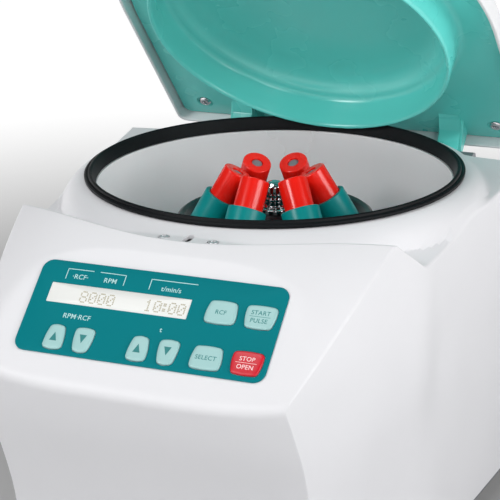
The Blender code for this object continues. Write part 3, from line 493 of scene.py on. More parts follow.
def new_object(name, verts, faces, mat, angle=38.0, body="body", replaces=(), slot=None):
    me = bpy.data.meshes.new(name)
    me.from_pydata([tuple(world(v)) for v in verts], [], faces)
    me.validate()
    me.materials.append(mat)
    bm = bmesh.new()
    bm.from_mesh(me)
    bmesh.ops.remove_doubles(bm, verts=bm.verts, dist=2e-6)
    bmesh.ops.recalc_face_normals(bm, faces=bm.faces)
    if all(e.is_manifold for e in bm.edges) and bm.calc_volume(signed=True) < 0:
        bmesh.ops.reverse_faces(bm, faces=bm.faces)
    bm.to_mesh(me)
    bm.free()
    me.shade_smooth()
    me.set_sharp_from_angle(angle=math.radians(angle))
    ob = bpy.data.objects.new(name, me)
    bpy.context.scene.collection.objects.link(ob)
    if body:
        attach(ob, body)
    if replaces:
        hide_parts(*replaces)
    return ob


def grid_faces(rows, base=0):
    n = len(rows[0])
    return [(base + j * n + i, base + j * n + i + 1,
             base + (j + 1) * n + i + 1, base + (j + 1) * n + i)
            for j in range(len(rows) - 1) for i in range(n - 1)]


def fillet(profile, seg=4):
    """Rounds a closed profile of (a, b, radius) corners."""
    out = []
    n = len(profile)
    for i in range(n):
        p, q, s = profile[i - 1], profile[i], profile[(i + 1) % n]
        rad = q[2] if len(q) > 2 else 0.0
        if rad <= 0:
            out.append((q[0], q[1]))
            continue
        d1 = Vector((p[0] - q[0], p[1] - q[1]))
        d2 = Vector((s[0] - q[0], s[1] - q[1]))
        l1, l2 = d1.length, d2.length
        if l1 < 1e-6 or l2 < 1e-6:
            out.append((q[0], q[1]))
            continue
        d1.normalize()
        d2.normalize()
        half = math.acos(max(-1, min(1, d1.dot(d2)))) / 2
        if half > 1.52:
            out.append((q[0], q[1]))
            continue
        t = min(rad / math.tan(half), 0.49 * l1, 0.49 * l2)
        rad = t * math.tan(half)
        c = Vector(q[:2]) + (d1 + d2).normalized() * (rad / math.sin(half))
        p0, p1 = Vector(q[:2]) + d1 * t, Vector(q[:2]) + d2 * t
        a0 = math.atan2(p0.y - c.y, p0.x - c.x)
        a1 = math.atan2(p1.y - c.y, p1.x - c.x)
        da = (a1 - a0 + math.pi) % (2 * math.pi) - math.pi
        for k in range(seg + 1):
            g = a0 + da * k / seg
            out.append((c.x + rad * math.cos(g), c.y + rad * math.sin(g)))
    return out


def lathe(name, profile, mat, seg=64, centre=(0, 0), axis=None, angle=38.0, **kw):
    verts, faces, index = [], [], []
    n = len(profile)
    for r, z in profile:
        if r < 1e-6:
            verts.append((0.0, 0.0, z))
            index.append([len(verts) - 1] * seg)
        else:
            ids = []
            for i in range(seg):
                a = 2 * math.pi * i / seg
                verts.append((r * math.cos(a), r * math.sin(a), z))
                ids.append(len(verts) - 1)
            index.append(ids)
    for k in range(n):
        m = (k + 1) % n
        if profile[k][0] < 1e-6 and profile[m][0] < 1e-6:
            continue
        a, b = index[k], index[m]
        for i in range(seg):
            j = (i + 1) % seg
            f = [a[i], a[j], b[j], b[i]]
            f = [v for q, v in enumerate(f) if v not in f[:q]]
            if len(f) > 2:
                faces.append(f)
    if axis is None:
        mtx = Matrix.Translation((centre[0], centre[1], 0))
    else:
        p, d = axis
        mtx = Matrix.Translation(p) @ Vector((0, 0, 1)).rotation_difference(
            Vector(d)).to_matrix().to_4x4()
    verts = [tuple(mtx @ Vector(v)) for v in verts]
    return new_object(name, verts, faces, mat, angle, **kw)


def loft(name, rings, mat, mapper=None, cap_lo=True, cap_hi=True, angle=38.0,
         flat_caps=False, **kw):
    """Loops of equal length joined in order; the ends are capped with fans,
    or with one face each where the outline is hollow."""
    mapper = mapper or (lambda x, y, z: (x, y, z))
    verts, faces = [], []
    n = len(rings[0])
    for ring in rings:
        verts.extend(ring)
    m = len(rings)
    for j in range(m - 1):
        for i in range(n):
            k = (i + 1) % n
            faces.append((j * n + i, j * n + k, (j + 1) * n + k, (j + 1) * n + i))
    for flag, ring, base, rev in ((cap_lo, rings[0], 0, True),
                                  (cap_hi, rings[-1], (m - 1) * n, False)):
        if flag and flat_caps:
            cap = tuple(range(base, base + n))
            faces.append(cap[::-1] if rev else cap)
        elif flag:
            c = tuple(sum(p[k] for p in ring) / n for k in range(3))
            verts.append(c)
            q = len(verts) - 1
            for i in range(n):
                k = (i + 1) % n
                faces.append((q, base + k, base + i) if rev else (q, base + i, base + k))
    if not cap_lo and not cap_hi:
        for i in range(n):
            k = (i + 1) % n
            faces.append(((m - 1) * n + i, (m - 1) * n + k, k, i))
    verts = [mapper(*v) for v in verts]
    return new_object(name, verts, faces, mat, angle, **kw)


def rounded(w, h, r, seg=8, cx=0.0, cy=0.0):
    pts = []
    for sx, sy, a0 in ((1, 1, 0), (-1, 1, 90), (-1, -1, 180), (1, -1, 270)):
        for i in range(seg + 1):
            a = math.radians(a0 + 90.0 * i / seg)
            pts.append((cx + sx * (w / 2 - r) + r * math.cos(a),
                        cy + sy * (h / 2 - r) + r * math.sin(a)))
    return pts


def outline_scaled(pts, c, d):
    """Moves an outline inwards by about d along rays to its centre."""
    out = []
    for u, v in pts:
        l = math.hypot(u - c[0], v - c[1])
        s = max(0.0, (l - d) / l) if l > 1e-6 else 0.0
        out.append((c[0] + (u - c[0]) * s, c[1] + (v - c[1]) * s))
    return out


def slab(name, pts, lo, hi, mat, mapper=None, r=0.0, c=(0, 0), **kw):
    """Prism with a rounded upper edge."""
    rings = [[(u, v, lo) for u, v in pts]]
    if r > 0:
        for k in range(5):
            g = math.pi / 2 * k / 4
            rings.append([(u, v, hi - r + r * math.sin(g))
                          for u, v in outline_scaled(pts, c, r * (1 - math.cos(g)))])
    else:
        rings.append([(u, v, hi) for u, v in pts])
    return loft(name, rings, mat, mapper, **kw)


def subtract(ob, tool):
    m = ob.modifiers.new("cut", 'BOOLEAN')
    m.operation = 'DIFFERENCE'
    m.solver = 'EXACT'
    m.object = tool
    dg = bpy.context.evaluated_depsgraph_get()
    dg.update()
    me = bpy.data.meshes.new_from_object(ob.evaluated_get(dg))
    ob.modifiers.clear()
    ob.data = me
    bpy.data.objects.remove(tool, do_unlink=True)
    me.shade_smooth()
    me.set_sharp_from_angle(angle=math.radians(38.0))
    return ob


def panel_point(u, v, w):
    c, s = math.cos(PANEL_TILT), math.sin(PANEL_TILT)
    return (u, PANEL_Y - v * c - w * s, PANEL_Z - v * s + w * c)


def lid_point(x, y, z):
    c, s = math.cos(LID_OPEN), math.sin(LID_OPEN)
    dy, dz = y - HINGE_Y, z - HINGE_Z
    return (x, HINGE_Y + dy * c + dz * s, HINGE_Z - dy * s + dz * c)


# ---------------------------------------------------------------- housing
def build_housing():
    patches = body_skin()
    verts, faces = [], []
    for rows in patches.values():
        base = len(verts)
        for row in rows:
            verts.extend(row)
        faces.extend(grid_faces(rows, base))
    me = bpy.data.meshes.new("housing_shell")
    me.from_pydata([tuple(world(v)) for v in verts], [], faces)
    me.materials.append(WHITE)
    bm = bmesh.new()
    bm.from_mesh(me)
    bmesh.ops.remove_doubles(bm, verts=bm.verts, dist=2e-5)
    bmesh.ops.recalc_face_normals(bm, faces=bm.faces)
    up = sum(f.normal.z * f.calc_area() for f in bm.faces
             if f.calc_center_median().z > (RIM_HEIGHT - 20) * MM)
    if up < 0:
        bmesh.ops.reverse_faces(bm, faces=bm.faces)
    # small radius on the creases
    layer = bm.edges.layers.float.new("bevel_weight_edge")
    for e in bm.edges:
        if len(e.link_faces) == 2 and e.calc_face_angle(0.0) >= math.radians(24):
            room = min(f.calc_area() for f in e.link_faces) / max(e.calc_length(), 1e-6)
            e[layer] = min(0.40, 0.3 * room / (5.0 * MM), 0.5 * e.calc_length() / (5.0 * MM))
    bm.to_mesh(me)
    bm.free()
    ob = bpy.data.objects.new("housing_shell", me)
    bpy.context.scene.collection.objects.link(ob)
    bv = ob.modifiers.new("round", 'BEVEL')
    bv.limit_method = 'WEIGHT'
    bv.width = 5.0 * MM
    bv.segments = 5
    bv.use_clamp_overlap = False
    bv.miter_outer = 'MITER_ARC'
    so = ob.modifiers.new("wall", 'SOLIDIFY')
    so.thickness = WALL * MM
    so.offset = -1.0
    dg = bpy.context.evaluated_depsgraph_get()
    dg.update()
    me2 = bpy.data.meshes.new_from_object(ob.evaluated_get(dg))
    ob.modifiers.clear()
    ob.data = me2
    me2.shade_smooth()
    me2.set_sharp_from_angle(angle=math.radians(50.0))
    cut = slab("c", rounded(4.4, 9.6, 2.0, 6, 0, LATCH_Y), -18, 2, HOLLOW, c=(0, LATCH_Y),
               body=None)
    subtract(ob, cut)
    for x in (-14.0, 14.0):
        subtract(ob, lathe("c", [(0, -16), (3.2, -16), (3.2, 2), (0, 2)], HOLLOW, 32,
                           centre=(x, LATCH_Y), body=None))
    rear = lambda u, v, w: (u, Y_REAR + w, v)
    subtract(ob, slab("c", rounded(28.6, 20.6, 1.5, 4, -62, -160), -9, 4, HOLLOW, rear,
                      c=(-62, -160), body=None))
    subtract(ob, slab("c", rounded(14.6, 21.6, 1.0, 4, -22, -160), -9, 4, HOLLOW, rear,
                      c=(-22, -160), body=None))
    subtract(ob, slab("c", rounded(74, 7.4, 1.0, 4, -20.3, 18.9), -9, 4, HOLLOW,
                      panel_point, c=(-20.3, 18.9), body=None))
    ob.data.set_sharp_from_angle(angle=math.radians(50.0))
    wn = ob.modifiers.new("normals", 'WEIGHTED_NORMAL')
    wn.keep_sharp = True
    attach(ob, "body")
    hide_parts("housing")
    return ob


build_housing()

# ---------------------------------------------------------------- base and feet
CAD = {
    "base_plate": GREY, "motor_body": GREY, "motor_plate": GREY, "motor_shaft": STEEL,
    "bowl_boot": RUBBER, "latch_body": DARK, "latch_bolt": STEEL,
    "hinge_block_left": GREY, "hinge_block_right": GREY,
    "hinge_pin_left": STEEL, "hinge_pin_right": STEEL, "control_board": BOARD,
    "mains_inlet": DARK, "switch_frame": DARK, "mains_switch": DARK,
    "motor_damper_1": RUBBER, "motor_damper_2": RUBBER, "motor_damper_3": RUBBER,
}
for node, mat in CAD.items():
    ob = frame["nodes"][node]
    ob.data.materials.clear()
    ob.data.materials.append(mat)

FEET = [(-72.0, -150.0), (72.0, -150.0), (-98.0, 108.0), (98.0, 108.0)]
for i, (x, y) in enumerate(FEET):
    prof = fillet([(0, -213.0, 0), (10.5, -213.0, 1.4), (12.9, -204.3, 0.4),
                   (0, -204.3, 0)], 4)
    lathe("foot_rubber_%d" % (i + 1), prof, RUBBER, 48, centre=(x, y),
          replaces=("foot_%d" % (i + 1),), slot="gasket_rubber")

# ---------------------------------------------------------------- bowl, gasket
zb, fil, bt, br = -112.0, 24.0, 1.2, 102.8
inner = [(br, -8.7)]
for i in range(17):
    a = math.pi / 2 * i / 16
    inner.append((br - fil + fil * math.cos(a), zb + fil - fil * math.sin(a)))
inner += [(15.6, zb), (15.2, zb - 0.5)]
outer = [(15.2, zb - bt)]
for i in range(16, -1, -1):
    a = math.pi / 2 * i / 16
    outer.append((br - fil + (fil + bt) * math.cos(a), zb + fil - (fil + bt) * math.sin(a)))
outer.append((br + bt, -8.7))
lathe("bowl_pan", inner + outer, BOWL, 160, replaces=("bowl",), slot="bowl_grey")

gasket = fillet([(103.2, -8.1, 0.2), (105.8, -8.1, 0), (105.8, -3.8, 0), (109.8, -3.8, 0.3),
                 (109.95, -2.2, 0.7), (108.7, -1.5, 0.5), (107.7, -1.9, 0.3),
                 (107.3, -0.6, 0.5), (106.2, 0.0, 0.6), (105.3, -0.9, 0.4)], 4)
lathe("gasket_ring", gasket, RUBBER, 180, replaces=("gasket",), slot="gasket_rubber")

# ---------------------------------------------------------------- rotor
tubes = []
for i in range(TUBE_N):
    a = TUBE_PHASE + 2 * math.pi * i / TUBE_N
    d = Vector((math.cos(a) * math.sin(TUBE_TILT), math.sin(a) * math.sin(TUBE_TILT),
                -math.cos(TUBE_TILT)))
    t = Vector((TUBE_TOP_R * math.cos(a), TUBE_TOP_R * math.sin(a), TUBE_TOP_Z))
    tubes.append((t, d))

prof = fillet([(6.3, -30.0, 0), (8.6, -30.0, 0.5), (11.0, -33.0, 1.5), (49.0, -36.5, 3.0),
               (53.0, -31.0, 1.5), (55.5, -30.0, 1.0), (57.5, -31.5, 1.0),
               (62.0, -54.0, 2.0), (60.5, -58.0, 1.5), (22.0, -60.0, 1.0),
               (12.0, -66.0, 1.0), (6.3, -66.0, 0)], 5)
rotor = lathe("rotor_dish", prof, ROTOR, 120, body=None)
for t, d in tubes:
    subtract(rotor, lathe("c", [(0, -2), (SLEEVE_R + 0.35, -2), (SLEEVE_R + 0.35, 100),
                                (0, 100)], ROTOR, 48, axis=(t, d), body=None))
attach(rotor, "rotor")
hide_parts("rotor_body")

for i, (t, d) in enumerate(tubes):
    prof = fillet([(SLEEVE_BORE, SLEEVE_START, 0.35), (SLEEVE_R, SLEEVE_START, 0.6),
                   (SLEEVE_R, SLEEVE_END, 3.2), (0, SLEEVE_END, 0),
                   (0, SLEEVE_END - 3, 0), (SLEEVE_BORE, SLEEVE_END - 3, 2.5)], 5)
    sl = lathe("sleeve_cup_%d" % (i + 1), prof, SLEEVE, 64, axis=(t, d), body=None)
    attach(sl, "rotor")
    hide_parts("sleeve_%d" % (i + 1))
    prof = fillet([(0, 2.2, 0), (3.4, 2.2, 0.1), (3.4, 0.0, 0.35), (TUBE_R, 0.0, 0.9),
                   (TUBE_R, TUBE_LEN - 4, 3.0), (TUBE_R - 3, TUBE_LEN - 0.8, 2.0),
                   (0, TUBE_LEN - 0.8, 0)], 5)
    tb = lathe("tube_barrel_%d" % (i + 1), prof, RED, 64, axis=(t, d), body=None)
    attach(tb, "tube_%d" % (i + 1))
    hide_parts("tube_%d" % (i + 1))
    prof = fillet([(0, 0.7, 0), (1.9, 0.75, 0.2), (3.2, 1.1, 0.3), (3.25, 2.3, 0),
                   (0, 2.3, 0)], 4)
    pg = lathe("tube_insert_%d" % (i + 1), prof, PLUG, 40, axis=(t, d), body=None)
    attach(pg, "tube_%d" % (i + 1))

prof = fillet([(4.3, -29.7, 0), (8.0, -29.7, 0.3), (8.0, -27.2, 0.6), (6.9, -26.6, 0.2),
               (6.9, -25.6, 0.3), (5.2, -25.0, 0.3), (5.2, -22.6, 0.2), (5.9, -22.2, 0.2),
               (5.9, -20.9, 0.2), (4.9, -20.5, 0.2), (4.9, -18.6, 0.3), (6.0, -17.4, 0.8),
               (5.9, -13.4, 2.6), (3.4, -11.2, 2.0), (0, -11.0, 0), (0, -19.6, 0),
               (4.3, -19.6, 0)], 5)
nut = lathe("rotor_cap_nut", prof, CHROME, 64, body=None)
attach(nut, "nut")
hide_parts("rotor_nut")


# ---------------------------------------------------------------- lid
def rim_outline(a, rear_y, front_y, slope, y_mid, rc, seg_f, seg_s):
    pts = []
    b = y_mid - front_y
    for i in range(seg_f + 1):
        g = math.pi * i / seg_f
        pts.append((-a * math.cos(g), y_mid - b * math.sin(g)))
    wr = a + slope * (rear_y - y_mid)
    side = []
    for i in range(1, seg_s + 1):
        y = y_mid + (rear_y - rc - y_mid) * i / seg_s
        side.append((a + slope * (y - y_mid), y))
    for i in range(1, 7):
        g = math.pi / 2 * i / 6
        side.append((wr - rc + rc * math.cos(g), rear_y - rc + rc * math.sin(g)))
    rear = [(wr - rc - (2 * (wr - rc)) * i / 16, rear_y) for i in range(1, 16)]
    return pts + side + rear + [(-x, y) for x, y in reversed(side)]


LID_RIM_Z = -5.7
SHELL_T = 2.2
LINER_Z = 0.35
SEG_F, SEG_S = 96, 20
MID = (0.0, -3.0)


def plan_loop(grow, z, rho=1.0):
    o = rim_outline(117.6 + grow, 123.8 + grow, -129.0 - grow, 0.024, 5.0, 6.0,
                    SEG_F, SEG_S)
    return [(MID[0] + (x - MID[0]) * rho, MID[1] + (y - MID[1]) * rho, z) for x, y in o]


def crown_loop(rho):
    """A loop of the gently domed upper face."""
    out = []
    for x, y, z in plan_loop(0, 13.5, rho):
        u, v = (x - MID[0]) / 118.0, (y - MID[1]) / 126.0
        out.append((x, y, z + 6.5 * (1 - u * u) * (1 - v * v) * (1 - rho ** 4)))
    return out


rings = [crown_loop(r) for r in (0.08, 0.2, 0.3, 0.4, 0.5, 0.6, 0.68, 0.75, 0.81, 0.86, 0.89,
                                 0.92)]
for r, z in ((0.945, 13.3), (0.962, 12.2), (0.975, 10.9), (0.985, 9.2), (0.992, 7.2),
             (0.997, 4.6), (1.0, 1.6), (1.0, -4.9)):
    rings.append(plan_loop(0, z, r))
for k in range(1, 5):
    g = math.pi / 2 * k / 4
    rings.append(plan_loop(-0.8 * (1 - math.cos(g)), -4.9 - 0.8 * math.sin(g)))
for k in range(0, 5):
    g = math.pi / 2 * k / 4
    rings.append(plan_loop(-1.4 - 0.8 * math.sin(g), -5.7 + 0.8 * (1 - math.cos(g))))
rings.append(plan_loop(-SHELL_T, 4.0))
rings.append(plan_loop(-SHELL_T, 9.0, 0.985))
rings.append(plan_loop(-SHELL_T, 11.0, 0.95))
rings.append(plan_loop(-SHELL_T, 12.5, 0.8))
rings.append(plan_loop(-SHELL_T, 15.0, 0.5))
loft("lid_cover", rings, GREY_SHELL, lid_point, body="lid", replaces=("lid_shell",),
     slot="housing_white", angle=50)

# liner: flat base with a deep round dome and a raised ring
n_liner = None


def liner_outline(grow, z):
    return [(x, y, z) for x, y in rim_outline(114.4 + grow, 120.6 + grow, -124.0 - grow,
                                              0.024, 20.0, 4.5, SEG_F, SEG_S)]


base_loop = liner_outline(0, 0)


def circle_like(r, z):
    out = []
    for x, y, _ in base_loop:
        a = math.atan2(y, x)
        out.append((r * math.cos(a), r * math.sin(a), z))
    return out


DOME = [(0.5, 11.3), (30.0, 11.3), (55.0, 11.3), (66.0, 11.2), (72.0, 10.8), (76.5, 9.6),
        (80.0, 7.6), (82.5, 5.2), (84.0, 2.8), (84.9, 1.2), (86.4, 0.2), (88.0, -1.2),
        (88.9, -3.6), (88.9, -9.0), (88.8, -15.0), (88.9, -18.2), (89.1, -19.6),
        (89.6, -20.5), (90.3, -20.9), (91.0, -20.6), (91.5, -19.6), (91.6, -18.0),
        (91.7, -12.0), (91.8, -5.0), (92.1, -2.6), (92.9, -0.9), (94.2, 0.05),
        (95.8, 0.3), (98.0, LINER_Z)]
rings = [circle_like(r, z) for r, z in DOME]
for t in (0.35, 0.7):
    a, b = circle_like(98.0, LINER_Z), liner_outline(-0.6, LINER_Z)
    rings.append([tuple(p[k] * (1 - t) + q[k] * t for k in range(3)) for p, q in zip(a, b)])
rings.append(liner_outline(-0.6, LINER_Z))
rings.append(liner_outline(-0.2, LINER_Z + 0.2))
rings.append(liner_outline(0, LINER_Z + 0.6))
rings.append(liner_outline(0, LINER_Z + 2.4))
rings += [circle_like(r, z) for r, z in ((96.0, LINER_Z + 2.4), (92.0, LINER_Z + 2.4),
                                         (89.5, 8.6), (84.0, 12.4), (78.0, 13.4),
                                         (40.0, 13.4), (1.0, 13.4))]
liner = loft("lid_inner", rings, TEAL_LINER, lid_point, body=None, angle=50)
SCREWS = [(-98.5, 107.0), (98.5, 107.0), (-70.0, -74.0), (70.0, -74.0)]


def lid_axis(x, y):
    return (lid_point(x, y, 0.0), Vector(lid_point(x, y, 1.0)) - Vector(lid_point(x, y, 0.0)))


for x, y in SCREWS:
    subtract(liner, lathe("c", [(0, -3), (7.2, -3), (5.0, LINER_Z + 1.1), (0, LINER_Z + 1.1)],
                          TEAL_LINER, 40, axis=lid_axis(x, y), body=None))
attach(liner, "lid")
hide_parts("lid_liner")
for i, (x, y) in enumerate(SCREWS):
    prof = fillet([(0, LINER_Z + 0.2, 0), (1.7, LINER_Z + 0.2, 0.1), (1.9, LINER_Z - 0.9, 0.2),
                   (3.1, LINER_Z - 0.8, 0.4), (4.0, LINER_Z + 0.3, 0.2),
                   (4.0, LINER_Z + 1.0, 0), (1.8, LINER_Z + 1.1, 0), (1.8, 6.4, 0),
                   (0, 6.4, 0)], 4)
    lathe("liner_fixing_%d" % (i + 1), prof, CHROME, 40, axis=lid_axis(x, y), body="lid",
          replaces=("liner_screw_%d" % (i + 1),), slot="bright_steel")

# hinge arms and their fins
ARM = fillet([(94.0, LINER_Z + 1.2, 0), (119.5, LINER_Z + 1.2, 0), (120.0, -10.0, 3),
              (119.4, -20.5, 4), (118.0, -26.2, 4.0), (113.7, -28.3, 4.0),
              (109.8, -26.6, 4.0), (109.3, -21.0, 1), (109.0, -12.0, 1.5), (107.3, -5.4, 1.5),
              (101.5, -0.8, 2)], 6)
for side, sx in (("left", -1), ("right", 1)):
    lo, hi = (63.3, 76.7) if sx > 0 else (-76.7, -63.3)
    rings = []
    cy, cz = 111.0, -12.0
    for x, e in ((lo, 0.5), (lo + 0.15, 0.15), (lo + 0.5, 0.0), (hi - 0.5, 0.0),
                 (hi - 0.15, 0.15), (hi, 0.5)):
        rings.append([(x, y, z) for y, z in outline_scaled(ARM, (cy, cz), e)])
    arm = loft("hinge_arm_" + side, rings, TEAL_LINER, lid_point, body=None, angle=50,
               flat_caps=True)
    tool = lathe("c", [(0, -20), (3.3, -20), (3.3, 20), (0, 20)], STEEL, 40,
                 axis=((sx * 70.0, HINGE_Y, HINGE_Z), (1, 0, 0)), body=None)
    subtract(arm, tool)
    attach(arm, "lid")
    fin_lo, fin_hi = (76.6, 78.3) if sx > 0 else (-78.3, -76.6)
    fin = fillet([(103.0, LINER_Z + 1.0, 0), (118.4, LINER_Z + 1.0, 0), (118.2, -17.0, 0.6),
                  (116.0, -18.6, 1.0)], 4)
    rings = [[(x, y, z) for y, z in outline_scaled(fin, (113, -6), e)]
             for x, e in ((fin_lo, 0.0), (fin_hi - 0.3, 0.0), (fin_hi, 0.3))]
    fo = loft("hinge_fin_" + side, rings, TEAL_LINER, lid_point, body=None, angle=50)
    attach(fo, "lid")

# hook
HOOK = fillet([(-126.1, 0.0, 0.3), (-119.1, 0.0, 0.3), (-119.1, -27.0, 1.2),
               (-120.6, -28.6, 1.0), (-124.6, -28.6, 1.0), (-126.1, -27.0, 1.2)], 4)
rings = []
for x, e in ((-1.5, 0.25), (-1.25, 0.0), (1.25, 0.0), (1.5, 0.25)):
    rings.append([(x, y, z) for y, z in outline_scaled(HOOK, (-122.6, -14.0), e)])
hook = loft("latch_hook", rings, STEEL, lid_point, body=None, angle=40)
subtract(hook, lathe("c", [(0, -5), (2.1, -5), (2.1, 5), (0, 5)], STEEL, 32,
                     axis=(lid_point(0, LATCH_Y, -22.0), (1, 0, 0)), body=None))
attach(hook, "lid")
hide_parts("lid_hook")

# ---------------------------------------------------------------- latch screws
for side, x in (("left", -14.0), ("right", 14.0)):
    prof = fillet([(0, -20.0, 0), (1.6, -20.0, 0), (1.6, -9.6, 0), (2.8, -9.2, 0.2),
                   (2.8, -7.2, 0.6), (1.3, -7.0, 0.1), (1.1, -8.0, 0), (0, -8.0, 0)], 4)
    lathe("latch_fixing_" + side, prof, PALESTEEL, 40, centre=(x, LATCH_Y), body="body",
          replaces=("latch_screw_" + side,), slot="bright_steel")


# ---------------------------------------------------------------- control panel
def trapezoid(cu, cv, w_top, w_bot, h, r, seg=6, inset=0.0, bulge=0.0):
    """Key outline with round corners and slightly bowed sides."""
    a, b, hh = w_top / 2 - inset, w_bot / 2 - inset, h / 2 - inset
    corners = [(a, -hh), (b, hh), (-b, hh), (-a, -hh)]
    r = max(0.3, r - inset)
    arcs = []
    for k in range(4):
        p, q, s = corners[k - 1], corners[k], corners[(k + 1) % 4]
        d1 = Vector((p[0] - q[0], p[1] - q[1])).normalized()
        d2 = Vector((s[0] - q[0], s[1] - q[1])).normalized()
        half = math.acos(max(-1, min(1, d1.dot(d2)))) / 2
        t = r / math.tan(half)
        c = Vector(q) + (d1 + d2).normalized() * (r / math.sin(half))
        p0, p1 = Vector(q) + d1 * t, Vector(q) + d2 * t
        a0 = math.atan2(p0.y - c.y, p0.x - c.x)
        a1 = math.atan2(p1.y - c.y, p1.x - c.x)
        da = (a1 - a0 + math.pi) % (2 * math.pi) - math.pi
        arcs.append([(c.x + r * math.cos(a0 + da * i / seg),
                      c.y + r * math.sin(a0 + da * i / seg)) for i in range(seg + 1)])
    pts = []
    for k in range(4):
        pts += arcs[k]
        e, f = Vector(arcs[k][-1]), Vector(arcs[(k + 1) % 4][0])
        nrm = Vector((f.y - e.y, e.x - f.x)).normalized()
        if nrm.dot((e + f) / 2) < 0:
            nrm = -nrm
        for i in range(1, 6):
            t = i / 6
            q = e.lerp(f, t) + nrm * (bulge * 4 * t * (1 - t))
            pts.append((q.x, q.y))
    return [(cu + x, cv + y) for x, y in pts]


overlay = slab("panel_face", rounded(PANEL_W - 0.2, PANEL_H - 0.2, PANEL_R, 10, 0, PANEL_H / 2),
               0.25, 0.95, TEAL_PANEL, panel_point, r=0.25, c=(0, PANEL_H / 2), body=None)
WIN = (79.0, 11.9, -20.3, 18.85)
subtract(overlay, slab("c", rounded(WIN[0] - 0.4, WIN[1] - 0.4, 0.5, 4, WIN[2], WIN[3]),
                       -1, 3, TEAL_PANEL, panel_point, c=(WIN[2], WIN[3]), body=None))

KEYS = [("key_speed_up", -47.0, 44.0, 8.2, 11.4, 13.4, KEY_TEAL, "up"),
        ("key_speed_down", -31.3, 43.9, 11.4, 8.2, 13.4, KEY_TEAL, "down"),
        ("key_time_up", -0.5, 44.1, 8.2, 11.4, 13.4, KEY_TEAL, "up"),
        ("key_time_down", 15.3, 44.0, 11.4, 8.2, 13.4, KEY_TEAL, "down"),
        ("key_select", 36.3, 44.0, 14.4, 16.9, 12.4, KEY_TEAL, ("SELECT",)),
        ("key_force", 36.5, 18.4, 14.4, 16.9, 12.4, KEY_TEAL, ("RCF",)),
        ("key_start", 57.2, 18.4, 16.8, 14.2, 12.4, KEY_TEAL, ("START", "PULSE")),
        ("key_stop", 57.5, 44.0, 16.8, 14.2, 12.4, KEY_RED, ("STOP", "OPEN"))]
TOP = 2.22


def flat_piece(name, polys, w, mat, body, thick=0.03):
    """Thin printed shapes on the panel at height w; polys are (u, v) outlines."""
    verts, faces = [], []
    for poly in polys:
        b = len(verts)
        n = len(poly)
        verts += [(u, v, w) for u, v in poly] + [(u, v, w + thick) for u, v in poly]
        faces.append(tuple(range(b, b + n)))
        faces.append(tuple(range(b + n, b + 2 * n)))
        faces += [(b + i, b + (i + 1) % n, b + n + (i + 1) % n, b + n + i) for i in range(n)]
    verts = [panel_point(*v) for v in verts]
    ob = new_object(name, verts, faces, mat, body=body)
    return ob


def text_piece(name, s, cu, cv, size, w, mat, body, stretch=1.0):
    """Lettering laid on the panel, centred on (cu, cv); size is the cap height."""
    cv_ = bpy.data.curves.new(name + "_c", 'FONT')
    cv_.body = s
    cv_.size = size / 0.70
    cv_.align_x = 'CENTER'
    cv_.space_character = 1.04
    cv_.resolution_u = 4
    cv_.offset = 0.012 * size
    tmp = bpy.data.objects.new(name + "_t", cv_)
    bpy.context.scene.collection.objects.link(tmp)
    dg = bpy.context.evaluated_depsgraph_get()
    dg.update()
    me = bpy.data.meshes.new_from_object(tmp.evaluated_get(dg))
    bpy.data.objects.remove(tmp, do_unlink=True)
    verts = [(cu + v.co.x * stretch, cv + size / 2 - v.co.y, w) for v in me.vertices]
    faces = [tuple(p.vertices) for p in me.polygons]
    bpy.data.meshes.remove(me)
    verts = [panel_point(*v) for v in verts]
    me = bpy.data.meshes.new(name)
    me.from_pydata([tuple(world(v)) for v in verts], [], faces)
    me.materials.append(mat)
    nrm = Vector((0, -math.sin(PANEL_TILT), math.cos(PANEL_TILT)))
    bm = bmesh.new()
    bm.from_mesh(me)
    for f in bm.faces:
        f.normal_update()
        if f.normal.dot(nrm) < 0:
            f.normal_flip()
    bm.to_mesh(me)
    bm.free()
    ob = bpy.data.objects.new(name, me)
    bpy.context.scene.collection.objects.link(ob)
    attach(ob, body)
    return ob


def bar(u0, v0, u1, v1, t):
    d = Vector((u1 - u0, v1 - v0)).normalized() * (t / 2)
    n = Vector((-d.y, d.x))
    a, b = Vector((u0, v0)) - d, Vector((u1, v1)) + d
    return [tuple(a + n), tuple(b + n), tuple(b - n), tuple(a - n)]


for name, cu, cv, wt, wb, h, mat, mark in KEYS:
    hole = trapezoid(cu, cv, wt, wb, h, 2.3, 4, inset=-0.25, bulge=0.35)
    subtract(overlay, slab("c", hole, -1, 3, TEAL_PANEL, panel_point, c=(cu, cv), body=None))
    o = trapezoid(cu, cv, wt, wb, h, 2.3, 6, bulge=0.35)
    rings = []
    for d, w in ((0.0, 1.0), (0.0, 1.25), (0.08, 1.5), (0.25, 1.72), (0.55, 1.9),
                 (1.0, 2.02), (1.7, 2.12), (2.8, 2.19), (4.0, 2.2)):
        rings.append([(u, v, w) for u, v in outline_scaled(o, (cu, cv), d)])
    k = loft("cap_" + name, rings, mat, panel_point, body=None, angle=60)
    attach(k, name)
    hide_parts(name)
    if mark in ("up", "down"):
        s = 1.0 if mark == "up" else -1.0
        shift = 0.4 if mark == "up" else -0.4
        flat_piece("mark_" + name, [[(cu, cv - 2.6 * s + shift), (cu + 2.0, cv + 2.2 * s + shift),
                                     (cu - 2.0, cv + 2.2 * s + shift)]],
                   TOP, INK_TEAL, name)
    else:
        ink = INK_ROSE if mat is KEY_RED else INK_TEAL
        if len(mark) == 1:
            text_piece("word_" + name, mark[0], cu, cv + 0.3, 2.35, TOP, ink, name)
        else:
            text_piece("word1_" + name, mark[0], cu, cv - 2.1, 2.35, TOP, ink, name)
            text_piece("word2_" + name, mark[1], cu, cv + 2.3, 2.35, TOP, ink, name)
            flat_piece("rule_" + name, [bar(cu - 5.4, cv + 0.1, cu + 5.4, cv + 0.1, 0.22)],
                       TOP, ink, name)
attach(overlay, "body")
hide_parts("control_panel")

